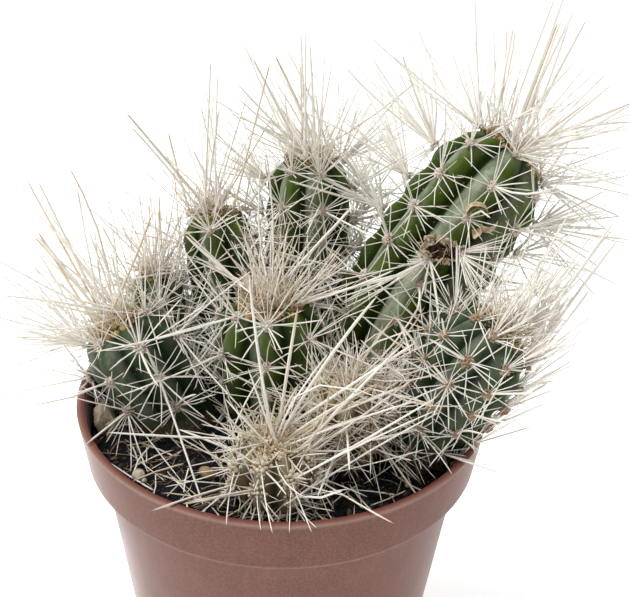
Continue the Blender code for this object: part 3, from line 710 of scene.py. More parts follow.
class Finish:
    """A Principled material and short ways to add the nodes that drive it."""

    def __init__(self, name, roughness, specular=0.5):
        self.material = bpy.data.materials.new(name)
        self.material.use_nodes = True
        self.tree = self.material.node_tree
        self.shader = self.tree.nodes["Principled BSDF"]
        self.shader.inputs["Roughness"].default_value = roughness
        self.shader.inputs["Specular IOR Level"].default_value = specular
        self.place = self.tree.nodes.new("ShaderNodeTexCoord").outputs["Object"]

    def link(self, source, socket):
        self.tree.links.new(source, socket)

    def feed(self, node, socket, value):
        """Set a socket to a number or colour, or link it to another node's output."""
        if isinstance(value, bpy.types.NodeSocket):
            self.link(value, node.inputs[socket])
        else:
            node.inputs[socket].default_value = value

    def attribute(self, name):
        node = self.tree.nodes.new("ShaderNodeAttribute")
        node.attribute_name = name
        return node.outputs["Fac"]

    def stretched(self, scale, turn=(0, 0, 0)):
        """Object coordinates, turned and stretched by a Mapping node."""
        node = self.tree.nodes.new("ShaderNodeMapping")
        node.inputs["Scale"].default_value = scale
        node.inputs["Rotation"].default_value = turn
        self.link(self.place, node.inputs["Vector"])
        return node.outputs["Vector"]

    def noise(self, size, detail=2.0, roughness=0.5, place=None):
        """Noise whose patches are about one size across, in metres."""
        node = self.tree.nodes.new("ShaderNodeTexNoise")
        node.inputs["Scale"].default_value = 1 / size
        node.inputs["Detail"].default_value = detail
        node.inputs["Roughness"].default_value = roughness
        self.link(place or self.place, node.inputs["Vector"])
        return node.outputs["Fac"]

    def cells(self, size):
        """Distance to the middle of the nearest cell, for cells of about one size, in metres."""
        node = self.tree.nodes.new("ShaderNodeTexVoronoi")
        node.inputs["Scale"].default_value = 1 / size
        self.link(self.place, node.inputs["Vector"])
        return node.outputs["Distance"]

    def between(self, value, low, high, to_low=0.0, to_high=1.0):
        """A number that goes smoothly from one value to another as the input goes from low to high."""
        node = self.tree.nodes.new("ShaderNodeMapRange")
        node.interpolation_type = "SMOOTHSTEP"
        self.feed(node, "Value", value)
        for socket, bound in zip(("From Min", "From Max", "To Min", "To Max"), (low, high, to_low, to_high)):
            node.inputs[socket].default_value = bound
        return node.outputs["Result"]

    def maths(self, operation, first, second):
        node = self.tree.nodes.new("ShaderNodeMath")
        node.operation = operation
        self.feed(node, 0, first)
        self.feed(node, 1, second)
        return node.outputs[0]

    def mix(self, share, low, high):
        """A colour between two."""
        node = self.tree.nodes.new("ShaderNodeMix")
        node.data_type = "RGBA"
        self.feed(node, "Factor", share)
        for socket, colour in zip((node.inputs[6], node.inputs[7]), (low, high)):
            if isinstance(colour, bpy.types.NodeSocket):
                self.link(colour, socket)
            else:
                socket.default_value = (*colour, 1.0)
        return node.outputs[2]

    def colour(self, source):
        self.link(source, self.shader.inputs["Base Color"])

    def roughness(self, source):
        self.link(source, self.shader.inputs["Roughness"])

    def bump(self, *heights):
        """Bump from pairs of a height and its depth in metres, each over the one before."""
        normal = None
        for height, depth in heights:
            node = self.tree.nodes.new("ShaderNodeBump")
            node.inputs["Distance"].default_value = depth
            self.link(height, node.inputs["Height"])
            if normal:
                self.link(normal, node.inputs["Normal"])
            normal = node.outputs["Normal"]
        self.link(normal, self.shader.inputs["Normal"])


def pot_finish(look):
    """Matte rose-brown plastic: faint specks, a chalky coat, and a painted highlight along the lip and the
    band's foot.
    """
    finish = Finish("terracotta_plastic", look.roughness, 0.3)
    finish.shader.inputs["Sheen Weight"].default_value = 0.5
    finish.shader.inputs["Sheen Roughness"].default_value = 0.25
    mottle = finish.noise(9 * MM, 3.0)
    grain = finish.noise(0.55 * MM, 2, 0.6)
    streak = finish.noise(2.0 * MM, 3, 0.6, finish.stretched((1, 1, 0.12)))
    base = finish.mix(finish.between(mottle, 0.3, 0.75), look.dark, look.colour)
    base = finish.mix(finish.between(grain, 0.35, 0.70, 0, 0.20), base, look.pale)
    base = finish.mix(finish.between(streak, 0.45, 0.8, 0, 0.06), base, look.pale)
    # Painted highlight: a pale line along the lip's outer corner and the band's foot
    edge = finish.attribute("edge")
    base = finish.mix(finish.maths("MULTIPLY", edge, 0.5), base, look.pale)
    finish.colour(finish.mix(finish.attribute("inside"), base, look.inner))
    finish.roughness(finish.between(grain, 0.25, 0.75, look.roughness - 0.07, look.roughness + 0.1))
    finish.bump((mottle, 0.10 * MM), (grain, 0.035 * MM))
    return finish.material


def soil_finish(look):
    """Black peat with brown grains, a little wet, and blue-grey grains that are a painted sheen."""
    finish = Finish("peat", 0.8, 0.16)
    grain = finish.noise(0.9 * MM, 4, 0.7)
    patch = finish.noise(5 * MM, 2.0)
    # Painted sheen: random grains take the blue-grey tint of the wet peat's shine
    base = finish.mix(finish.between(grain, 0.46, 0.72), look.dark, look.blue)
    base = finish.mix(finish.between(patch, 0.5, 0.72, 0, 0.5), base, look.brown)
    base = finish.mix(finish.attribute("tone"), base, look.brown)
    finish.colour(base)
    finish.roughness(finish.between(grain, 0.3, 0.7, 0.55, 0.95))
    finish.bump((grain, 0.8 * MM), (finish.cells(0.8 * MM), 0.4 * MM))
    return finish.material


def stone_finish(name, pale, dark):
    """A dull stone with darker veins and pores."""
    finish = Finish(name, 0.8, 0.35)
    patch = finish.noise(2.2 * MM, 4, 0.6)
    grain = finish.noise(0.35 * MM, 2.0)
    finish.colour(finish.mix(finish.between(patch, 0.35, 0.7), dark, pale))
    finish.bump((patch, 0.5 * MM), (grain, 0.12 * MM))
    return finish.material


def skin_finish(name, look, flank, crest, furrow_shade, bloom_and_light):
    """Waxy skin: painted shade in the furrows, a painted highlight on the crests, whitish wax in streaks that is
    partly painted light, pale flecks, and cork at the foot.
    """
    finish = Finish(name, look.roughness, 0.07)
    finish.shader.inputs["Specular Tint"].default_value = (0.75, 1, 0.6, 1.0)
    height = finish.attribute("crest")
    near_pad = finish.attribute("near_pad")
    patch = finish.noise(5 * MM, 3.0)
    fine = finish.noise(0.7 * MM, 3, 0.6)
    streak = finish.noise(2.4 * MM, 4, 0.6, finish.stretched((1, 1, 0.22)))
    # Painted shade darkens the furrows and a painted highlight lightens the crests, following the crest
    # attribute
    base = finish.mix(finish.between(height, 0.25, 0.75), furrow_shade, flank)
    base = finish.mix(finish.between(height, 0.80, 1, 0.0, 0.6), base, crest)
    # Random darker patches, in the colour of the furrows' painted shade
    base = finish.mix(finish.between(patch, 0.35, 0.75, 0, 0.4), base, furrow_shade)
    # Whitish wax in streaks on one flank, which is painted light as well where the flank faces the key light
    film = finish.maths("MULTIPLY", finish.attribute("film"), finish.between(streak, 0.34, 0.66, 0.45, 1.0))
    base = finish.mix(finish.maths("MULTIPLY", film, look.bloom_and_light), base, bloom_and_light)
    base = finish.mix(finish.maths("MULTIPLY", near_pad, 0.25), base, bloom_and_light)
    fleck = finish.between(finish.cells(2.4 * MM), 0.07, 0.11, 1, 0.0)
    base = finish.mix(finish.maths("MULTIPLY", fleck, 0.45), base, bloom_and_light)
    cork_edge = finish.maths("ADD", finish.attribute("cork"), finish.between(streak, 0.2, 0.8, -0.3, 0.3))
    cork = finish.between(cork_edge, 0.45, 0.72)
    cork_colour = finish.mix(finish.between(fine, 0.35, 0.7), look.cork_dark, look.cork)
    finish.colour(finish.mix(cork, base, cork_colour))
    finish.roughness(finish.between(cork_edge, 0.4, 0.8, look.roughness, 0.85))
    finish.bump((patch, 0.35 * MM), (fine, 0.07 * MM), (finish.cells(0.45 * MM), 0.02 * MM))
    return finish.material


def spine_finish(name, look, pale, brown):
    """Bone-coloured spines: browner at the foot and the point, each with its own tone."""
    finish = Finish(name, 0.42, 0.3)
    ahead = finish.attribute("ahead")
    tone = finish.attribute("tone")
    base = finish.mix(finish.between(tone, -0.8, 0), look.white, pale)
    base = finish.mix(finish.between(tone, 0.35, 1), base, brown)
    foot = finish.between(ahead, 0, 0.08, 0.5, 0.0)
    near_point = finish.between(ahead, 0.72, 1.0)
    point = finish.maths("MULTIPLY", near_point, finish.between(tone, 0.2, 0.8, 0.15, 0.9))
    base = finish.mix(foot, base, look.foot)
    base = finish.mix(point, base, look.point)
    streak = finish.noise(0.5 * MM, 2.0)
    finish.colour(finish.mix(finish.between(streak, 0.45, 0.75, 0, 0.14), base, look.foot))
    return finish.material


def wool_finish(name, pale, dark, deep, ochre):
    """Matted wool in small grains, with painted shade in fine noise. Attributes say how ochre and how dark each
    grain is.
    """
    finish = Finish(name, 0.95, 0.1)
    fuzz = finish.noise(0.22 * MM, 2, 0.7)
    base = finish.mix(finish.attribute("dark"), pale, dark)
    base = finish.mix(finish.attribute("tone"), base, ochre)
    # Painted shade: the deep colour, laid by fine noise, stands for the shade between the fibres
    base = finish.mix(finish.between(fuzz, 0.5, 0.85, 0, 0.5), base, deep)
    finish.colour(base)
    finish.bump((fuzz, 0.15 * MM),)
    return finish.material


def litter_finish(name, pale, dark):
    """Dry plant matter: fibres, chips and husks."""
    finish = Finish(name, 0.8, 0.3)
    patch = finish.noise(1.2 * MM, 3.0)
    finish.colour(finish.mix(finish.between(patch, 0.3, 0.7), dark, pale))
    finish.bump((patch, 0.2 * MM),)
    return finish.material


# Settings

def metres(name, description, default, low=0.0, high=1.0):
    return FloatProperty(name=name, description=description, default=default, min=low, max=high,
                         unit="LENGTH", subtype="DISTANCE", precision=5)


def strength(name, description, default, unit="NONE"):
    return FloatProperty(name=name, description=description, default=default, min=0.0, unit=unit)


def tint(name, description, default):
    return FloatVectorProperty(name=name, description=description, default=default, min=0.0, max=1.0,
                               size=3, subtype="COLOR")


def portion(name, description, default, high=1.0):
    return FloatProperty(name=name, description=description, default=default, min=0.0, max=high,
                         subtype="FACTOR")


def whole(name, description, default, high=10000):
    return IntProperty(name=name, description=description, default=default, min=0, max=high)


class CactusPot(PropertyGroup):
    """The pot's fineness and colours."""
    sides: whole("Sides", "Flat sides round the pot", 160, 512)
    edge: metres("Edge", "Radius of the rounded lip and corners", 0.45 * MM, 0.0, 2 * MM)
    # The pale line along an edge is a painted highlight; this width places the extra rings beside the band's
    # edges
    edge_strip: metres("Rub", "Width of the pale rubbed line along an edge", 0.9 * MM, 0.7 * MM, 3 * MM)
    warp: metres("Warp", "How far the soft rim strays from a circle", 0.25 * MM, 0.0, 3 * MM)
    colour: tint("Colour", "The plastic in the light", (0.156, 0.050, 0.033))
    dark: tint("Mottle", "Darker patches of the plastic", (0.128, 0.040, 0.027))
    # The pale colour gives the chalky specks, and also the painted highlight along the edges
    pale: tint("Edges and specks", "Rubbed edges and chalky specks", (0.420, 0.280, 0.225))
    inner: tint("Inner wall", "The redder wall above the soil", (0.120, 0.024, 0.016))
    roughness: portion("Roughness", "How dull the plastic is", 0.52)


class CactusSoil(PropertyGroup):
    """The soil, its crumbs and what lies on it."""
    sides: whole("Sides", "Faces round the soil's edge", 220, 512)
    rings: whole("Rings", "Rings of faces across the soil", 56, 200)
    crumb_relief: metres("Crumb relief", "Height of the fine crumbs in the surface", 0.9 * MM, 0.0, 5 * MM)
    crumbs: whole("Crumbs", "Loose crumbs of peat", 1500)
    crumb_size: metres("Crumb size", "Radius of the largest crumbs", 1.3 * MM, 0.0, 5 * MM)
    fibres: whole("Fibres", "Curly rootlets and fibres on the soil", 110, 1000)
    fallen: whole("Fallen spines", "Dry spines that lie on the soil", 60, 1000)
    dark: tint("Peat", "Wet peat", (0.005, 0.005, 0.007))
    brown: tint("Brown grains", "Drier grains", (0.055, 0.036, 0.024))
    # The cool grains are a painted sheen of the wet peat
    blue: tint("Cool grains", "Grains that shine blue-grey", (0.018, 0.022, 0.036))
    fibre: tint("Fibre", "Dry rootlets", (0.500, 0.410, 0.300))
    fibre_dark: tint("Dark fibre", "Older rootlets", (0.230, 0.150, 0.080))
    chips: whole("Bark chips", "Chips of bark on the soil", 46, 1000)
    bark: tint("Bark", "Dry bark", (0.190, 0.115, 0.060))
    bark_dark: tint("Dark bark", "Wet bark", (0.040, 0.025, 0.016))


class CactusSkin(PropertyGroup):
    """The stems' skin."""
    row_height: metres("Row height", "Height of a row of faces", 0.9 * MM, 0.2 * MM, 5 * MM)
    rib_columns: whole("Columns in a rib", "Faces across one rib", 14, 64)
    unevenness: portion("Unevenness", "How far the skin strays from its even form", 0.018, 0.2)
    pit: metres("Pad pit", "How deep a pad sits in the rib", 0.35 * MM, 0.0, 2 * MM)
    # The crest colours are painted highlights, and the furrow colours painted shade
    green: tint("Green", "Flanks of the green stems", (0.045, 0.076, 0.006))
    green_crest_highlight: tint("Green crest", "Crests of the green stems", (0.105, 0.155, 0.028))
    green_furrow_shade: tint("Green furrow", "Furrows of the green stems", (0.010, 0.021, 0.002))
    dark_green: tint("Dark green", "Flanks of the dark stems", (0.028, 0.052, 0.020))
    dark_crest_highlight: tint("Dark crest", "Crests of the dark stems", (0.070, 0.105, 0.050))
    dark_furrow_shade: tint("Dark furrow", "Furrows of the dark stems", (0.013, 0.026, 0.013))
    pup: tint("Pup", "Skin of the young pups", (0.300, 0.225, 0.120))
    pup_crest_highlight: tint("Pup crest", "Crests of the young pups", (0.410, 0.345, 0.200))
    pup_furrow_shade: tint("Pup furrow", "Furrows of the young pups", (0.130, 0.105, 0.050))
    # The bloom colour and strength also paint light on the flanks that face the key light
    film: tint("Bloom", "Whitish wax", (0.390, 0.430, 0.330))
    cork: tint("Cork", "Grey cork at the foot", (0.230, 0.180, 0.120))
    cork_dark: tint("Dark cork", "Cracks in the cork", (0.085, 0.066, 0.045))
    bloom_and_light: portion("Bloom strength", "How thick the wax is", 0.75)
    roughness: portion("Roughness", "How dull the skin is", 0.46)


class CactusSpines(PropertyGroup):
    """Spines of the pads and crowns."""
    radial_radius: metres("Radial radius", "Radius of the spines round a pad", 0.13 * MM, 0.0, 2 * MM)
    central_radius: metres("Central radius", "Radius of the long spines", 0.28 * MM, 0.0, 2 * MM)
    crown_radius: metres("Crown radius", "Radius of the spines of a crown", 0.13 * MM, 0.0, 2 * MM)
    tall_share: portion("Tall share", "Share of a crown's spines that stand tall", 0.35)
    tries: whole("Tries", "Aims that are tried for a spine before it is shortened", 7, 50)
    white: tint("White", "Thin old spines far out in the clump", (0.900, 0.865, 0.790))
    ivory: tint("Ivory", "The common spines", (0.905, 0.870, 0.790))
    straw: tint("Straw", "The brownest spines", (0.700, 0.560, 0.380))
    foot: tint("Foot", "The spine's foot", (0.620, 0.480, 0.380))
    point: tint("Point", "The spine's point", (0.480, 0.330, 0.200))


class CactusWool(PropertyGroup):
    """The wool of the pads and crowns."""
    pad_radius: metres("Pad radius", "Radius of a woolly pad", 1.4 * MM, 0.0, 5 * MM)
    pad_height: metres("Pad height", "How far a pad stands out of the skin", 1.65 * MM, 0.0, 5 * MM)
    pad_grains: whole("Pad grains", "Woolly grains of a pad", 22, 100)
    grain_radius: metres("Grain radius", "Radius of a woolly grain", 0.46 * MM, 0.0, 2 * MM)
    pad_hairs: whole("Pad hairs", "Short hairs round a pad", 10, 200)
    crown_hairs: whole("Crown hairs", "Curly hairs of a stem's tip", 150, 2000)
    crown_lumps: whole("Crown lumps", "Lumps of matted wool on a stem's tip", 240, 1000)
    pale: tint("Pale wool", "Wool of the pads", (0.840, 0.770, 0.700))
    dark: tint("Brown wool", "Older wool", (0.500, 0.380, 0.300))
    # The deep colour is painted shade between the grains
    deep: tint("Deep wool", "Between the grains", (0.240, 0.140, 0.100))
    ochre: tint("Ochre wool", "Wool of the ochre pads", (0.440, 0.320, 0.200))
    young: tint("Young wool", "Darker wool of the young pups", (0.660, 0.520, 0.350))
    cream: tint("Cream", "Hairs of the crowns", (0.840, 0.760, 0.600))
    caramel: tint("Caramel", "Wool of the crowns", (0.620, 0.450, 0.220))
    amber: tint("Amber", "Young wool deep in the crowns", (0.240, 0.130, 0.045))


class CactusStage(PropertyGroup):
    """Floor, light and camera."""
    floor_size: metres("Floor size", "Side of the floor", 8.0, 1.0, 50.0)
    floor: tint("Floor", "The pale floor", (0.90, 0.90, 0.90))
    glow: strength("Glow", "Light that the floor gives off", 0.62)
    ambient: strength("Ambient", "Strength of the light all round", 0.36)
    shine: strength("Shine", "Strength of the surround in reflections", 0.8)
    key: strength("Key", "Power of the soft light above", 10.0, "POWER")
    side: strength("Sides", "Power of each soft light at the sides", 1.6, "POWER")


GROUPS = {"cactus_pot": CactusPot, "cactus_soil": CactusSoil, "cactus_skin": CactusSkin,
          "cactus_spines": CactusSpines, "cactus_wool": CactusWool, "cactus_stage": CactusStage}


# Pieces

class CACTUS_OT_pot(Operator):
    """Model the pot from a cylinder, extruded up its wall, over its lip and down inside"""
    bl_idname = "cactus.pot"
    bl_label = "Pot"

    def execute(self, context):
        look = context.scene.cactus_pot
        lip_inner = RIM_RADIUS - LIP_THICKNESS
        flare = (RIM_RADIUS - BAND_FOOT_RADIUS) * look.edge_strip / BAND_HEIGHT
        deselect()
        bpy.ops.mesh.primitive_cylinder_add(vertices=look.sides, radius=BASE_RADIUS, depth=FLOOR,
                                            location=(0, 0, FLOOR / 2))
        pot = new_piece("pot_shell")
        apply_place(pot)
        edit(pot)
        select_faces(pot, lambda face: face.normal.z > 0.9)
        raise_rings([
            (BASE_RADIUS, FLOOR),
            (BODY_TOP_RADIUS, STEP_HEIGHT),
            (BAND_FOOT_RADIUS, STEP_HEIGHT),
            (BAND_FOOT_RADIUS + flare, STEP_HEIGHT + look.edge_strip),
            (RIM_RADIUS - flare, POT_HEIGHT - look.edge_strip),
            (RIM_RADIUS, POT_HEIGHT),
            (lip_inner, POT_HEIGHT),
            (band_inner_radius(POT_HEIGHT - look.edge_strip), POT_HEIGHT - look.edge_strip),
            (band_inner_radius(LEDGE_HEIGHT), LEDGE_HEIGHT),
            (body_inner_radius(LEDGE_HEIGHT), LEDGE_HEIGHT),
            (body_inner_radius(FLOOR), FLOOR),
        ])
        bpy.ops.object.mode_set(mode="OBJECT")
        self.drill(pot)
        apply_modifier(pot, "BEVEL", width=look.edge, segments=3, limit_method="ANGLE",
                       angle_limit=math.radians(40))
        self.mark(pot, look)
        shade(pot, 50)
        finish_piece(pot, pot_finish(look), ["pot"])
        return {"FINISHED"}

    def drill(self, pot):
        """Cut the drain holes out of the floor."""
        for index in range(DRAIN_HOLES):
            angle = math.tau * index / DRAIN_HOLES
            deselect()
            bpy.ops.mesh.primitive_cylinder_add(vertices=32, radius=DRAIN_RADIUS, depth=4 * FLOOR, location=(
                DRAIN_RING * math.cos(angle), DRAIN_RING * math.sin(angle), 0))
            drain = new_piece("drain")
            apply_modifier(pot, "BOOLEAN", object=drain, operation="DIFFERENCE", solver="EXACT")
            bpy.data.objects.remove(drain)

    def mark(self, pot, look):
        """Warp the soft rim a little, and mark the painted highlight along the edges and the inner wall for the
        material.
        """
        mesh = pot.data
        edge_highlights, insides = [], []
        for vert in mesh.vertices:
            radius = math.hypot(vert.co.x, vert.co.y)
            height = vert.co.z
            # Painted highlight: the lip's outer corner, and more faintly the band's foot, get a pale line
            lip = height > POT_HEIGHT - 0.6 * look.edge and radius > RIM_RADIUS - 0.6 * look.edge
            foot = abs(height - STEP_HEIGHT) < 1.5 * look.edge and radius > BAND_FOOT_RADIUS - 1.5 * look.edge
            edge_highlights.append(1.0 if lip else 0.6 if foot else 0.0)
            if height > LEDGE_HEIGHT:
                wall = RIM_RADIUS - 0.6 * look.edge if height > POT_HEIGHT - look.edge / 4 else lip_middle()
            else:
                wall = body_inner_radius(height) + WALL / 2
            insides.append(1.0 if radius < wall and height > FLOOR / 2 else 0.0)
            rise = max(0.0, height / POT_HEIGHT) ** 2
            turn = math.atan2(vert.co.y, vert.co.x)
            sway = math.sin(2 * turn + 0.7) + 0.5 * math.sin(3 * turn)
            stray = look.warp * rise * sway / 1.5 - look.warp * rise
            if radius > BASE_RADIUS / 2:
                vert.co.x *= 1 + stray / radius
                vert.co.y *= 1 + stray / radius
        add_attributes(mesh, edge=edge_highlights, inside=insides)


def lip_middle():
    """Radius of the middle of the lip."""
    return RIM_RADIUS - LIP_THICKNESS / 2


class CACTUS_OT_soil(Operator):
    """Model the plug of soil, with crumbs raised from its top"""
    bl_idname = "cactus.soil"
    bl_label = "Soil"

    def execute(self, context):
        look = context.scene.cactus_soil
        ledge = LEDGE_HEIGHT + SEAT_GAP
        floor = FLOOR + SEAT_GAP
        edge_radius = band_inner_radius(SOIL_LEVEL) - SEAT_GAP
        rings = [
            (body_inner_radius(floor) - SEAT_GAP, floor),
            (body_inner_radius(ledge) - SEAT_GAP, ledge),
            (band_inner_radius(ledge) - SEAT_GAP, ledge),
            (edge_radius, SOIL_LEVEL),
        ]
        rings += [(edge_radius * (1 - ring / look.rings), SOIL_LEVEL) for ring in range(1, look.rings)]
        soil = turned("soil_plug", look.sides, rings)
        for vert in soil.data.vertices:
            if vert.co.z > SOIL_LEVEL - 0.01 * MM:
                vert.co.z = soil_height(vert.co.x, vert.co.y) + self.crumbs(vert.co, look)
        shade(soil, 60)
        finish_piece(soil, soil_finish(look), ["soil"])
        return {"FINISHED"}

    def crumbs(self, place, look):
        """Height of the fine crumbs in the surface."""
        flat = Vector((place.x, place.y, 0))
        coarse = noise.noise(flat / (2.1 * MM))
        fine = noise.noise(flat / (0.9 * MM) + Vector((3, 8, 1)))
        lumps = 1 - noise.voronoi(flat / (2.6 * MM))[0][0]
        return look.crumb_relief * (0.5 * coarse + 0.35 * fine + 0.6 * max(0.0, lumps - 0.35))


class CACTUS_OT_pebble(Operator):
    """Shape the pale pebble from an icosphere"""
    bl_idname = "cactus.pebble"
    bl_label = "Pebble"

    def execute(self, context):
        deselect()
        bpy.ops.mesh.primitive_ico_sphere_add(subdivisions=5, radius=1.0)
        pebble = new_piece("pebble_stone")
        stand = Matrix.Translation(PEBBLE_PLACE) @ Matrix.Rotation(math.radians(-8), 4, "Y")
        stand = stand @ Matrix.Diagonal(PEBBLE_SIZE).to_4x4()
        # The broken faces: which way each looks, and how far it lies from the middle
        faces = [((0.55, -0.60, 0.58), 0.62), ((-0.50, -0.55, 0.66), 0.68), ((0.25, -0.96, -0.10), 0.66),
                 ((0.95, 0.10, 0.28), 0.70), ((-0.20, 0.60, 0.77), 0.66), ((-0.95, -0.10, -0.20), 0.74)]
        for vert in pebble.data.vertices:
            point = vert.co.copy()
            for normal, reach in faces:
                normal = Vector(normal).normalized()
                point -= normal * 0.9 * max(0.0, point.dot(normal) - reach)
            rough = 0.07 * noise.noise(point * 3.0 + Vector((4, 1, 7))) + 0.05 * noise.noise(point * 9.0)
            pinch = 1.0 - 0.42 * max(0.0, point.z)
            vert.co = stand @ (Vector((point.x * pinch, point.y * pinch, point.z)) * (1.12 + rough))
        shade(pebble)
        material = stone_finish("pale_stone", (0.80, 0.70, 0.54), (0.52, 0.42, 0.28))
        finish_piece(pebble, material, ["pebble"])
        return {"FINISHED"}


class CACTUS_OT_skins(Operator):
    """Wrap a grid round every stem's axis, with its ribs, pits and crown"""
    bl_idname = "cactus.skins"
    bl_label = "Stem skins"

    def execute(self, context):
        look = context.scene.cactus_skin
        colours = {
            "green_skin": (look.green, look.green_crest_highlight, look.green_furrow_shade),
            "dark_green_skin": (look.dark_green, look.dark_crest_highlight, look.dark_furrow_shade),
            "pup_skin": (look.pup, look.pup_crest_highlight, look.pup_furrow_shade),
        }
        materials = {slot: skin_finish(slot, look, *parts, look.film) for slot, parts in colours.items()}
        for name, growth in GROWTHS.items():
            skin = self.wrap(name, growth, look)
            finish_piece(skin, materials[growth.stem.skin], [name])
        return {"FINISHED"}

    def rows(self, growth, look):
        """Distances below the tip of the grid's rows, closer together over the rounded tip."""
        cap = growth.cap * growth.length
        steps = 18
        rows = [cap * (1 - math.cos(math.pi / 2 * step / steps)) for step in range(steps + 1)]
        body = max(2, int((growth.length - cap) / look.row_height))
        return rows + [cap + (growth.length - cap) * step / body for step in range(1, body + 1)]

    def wrap(self, name, growth, look):
        stem = growth.stem
        habit = HABITS[name]
        rows = self.rows(growth, look)
        columns = stem.ribs * look.rib_columns
        deselect()
        bpy.ops.mesh.primitive_grid_add(x_subdivisions=columns, y_subdivisions=len(rows) - 1, size=1)
        skin = new_piece("skin_" + name)
        pads = growth.pads()
        nearest = KDTree(len(pads))
        for index, pad in enumerate(pads):
            nearest.insert(pad.place, index)
        nearest.balance()
        crests, films, corks, nears = [], [], [], []
        for vert in skin.data.vertices:
            below = rows[round((vert.co.y + 0.5) * (len(rows) - 1))]
            angle = vert.co.x + 0.5 + 0.5 / stem.ribs
            part = 1 - below / growth.length
            middle, along, _, _ = growth.axis(part)
            place = growth.surface(part, angle)
            ahead = place - middle
            crest = abs(math.cos(math.pi * angle * stem.ribs))
            uneven = noise.noise(place / (9 * MM)) + 0.35 * noise.noise(place / (3 * MM))
            gap = nearest.find(place)[2]
            near = math.exp(-(gap / (1.9 * MM)) ** 2)
            pit = look.pit * near
            if ahead.length > 0:
                place = place + ahead * look.unevenness * uneven - ahead.normalized() * pit
            if below < 4 * MM:
                place = place - along * 1.3 * MM * math.exp(-(ahead.length / (3.2 * MM)) ** 2)
            vert.co = place
            crests.append(crest)
            # Painted light over real wax: the wax band is strongest where the flank faces the key light
            off_crest = (angle * stem.ribs - round(angle * stem.ribs)) * habit.film_side
            wax_and_light_band = clamp((off_crest - 0.03) / 0.10) * clamp((0.47 - off_crest) / 0.06)
            facing_light = clamp(0.35 + 1.3 * ahead.normalized().dot(WAX_AND_LIGHT_SIDE))
            films.append(habit.film * wax_and_light_band * facing_light * min(1.0, below / (6 * MM)))
            corks.append(1 - clamp((place.z - SOIL_LEVEL) / (growth.apex.z - SOIL_LEVEL) / habit.cork))
            nears.append(math.exp(-(gap / (2.6 * MM)) ** 2))
        add_attributes(skin.data, crest=crests, film=films, cork=corks, near_pad=nears)
        edit(skin)
        bpy.ops.mesh.select_mode(type="VERT")
        bpy.ops.mesh.select_all(action="SELECT")
        bpy.ops.mesh.remove_doubles(threshold=0.002 * MM)
        bpy.ops.mesh.select_all(action="SELECT")
        bpy.ops.mesh.fill_holes(sides=0)
        face_outwards()
        shade(skin)
        return skin


# How far spines keep inside the box of the solids, and how far they may pass its front, in mm
BOX_GAP = 0.3
FRONT_OVERHANG = 2.5


class Room:
    """What a spine must not grow through: the stems, the pot, the soil and the pebble."""

    def __init__(self):
        names = ["skin_" + name for name in STEMS] + ["pot_shell", "soil_plug", "pebble_stone"]
        self.trees = {name: tree_of(name) for name in names}
        low, high = cad_box
        self.low = Vector(low) + Vector((BOX_GAP, -FRONT_OVERHANG, BOX_GAP)) * MM
        self.high = Vector(high) - Vector((BOX_GAP, BOX_GAP, BOX_GAP)) * MM

    def free(self, root, aim, home):
        """How far along its aim a spine can grow, as a share of its length."""
        span = aim.length
        ahead = aim / span
        far = span
        for name, tree in self.trees.items():
            start = 1.6 * MM if name == home else 0.0
            hit = tree.ray_cast(root + ahead * start, ahead, far)
            if hit[0] is not None:
                far = min(far, start + hit[3])
        for axis in range(3):
            if abs(ahead[axis]) > 1e-6:
                wall = self.high[axis] if ahead[axis] > 0 else self.low[axis]
                far = min(far, max(0.0, (wall - root[axis]) / ahead[axis]))
        return far / span


LOW_SPINE = (6.0 * MM, 12.0 * MM)
HIGH_SPINE = (9.0 * MM, 17.0 * MM)
MAIN_SPINE = (15.0 * MM, 29.0 * MM)
CROWN_SPINE = (18.0 * MM, 37.0 * MM)
TUFT_SPINE = (6.0 * MM, 20.0 * MM)
SHORTEST = 2.0 * MM
LONG_THICKNESS = 0.80     # of the radius that a long spine is listed with
PAD_TOP = 0.9             # mm from the skin to where a long spine starts
LEAN_STEP = 6             # degrees further towards the camera at each further try
SEED = 11

RADIAL_RINGS = [(1.15, 0), (1, 0.08), (1, 0.5), (0.92, 0.84), (0.05, 1.0)]
CENTRAL_RINGS = [(1.25, 0), (1, 0.04), (1, 0.3), (0.98, 0.55), (0.90, 0.80), (0.62, 0.94), (0.05, 1.0)]
HAIR_RINGS = [(1, 0), (1, 0.2), (0.95, 0.4), (0.9, 0.6), (0.8, 0.8), (0.3, 1.0)]


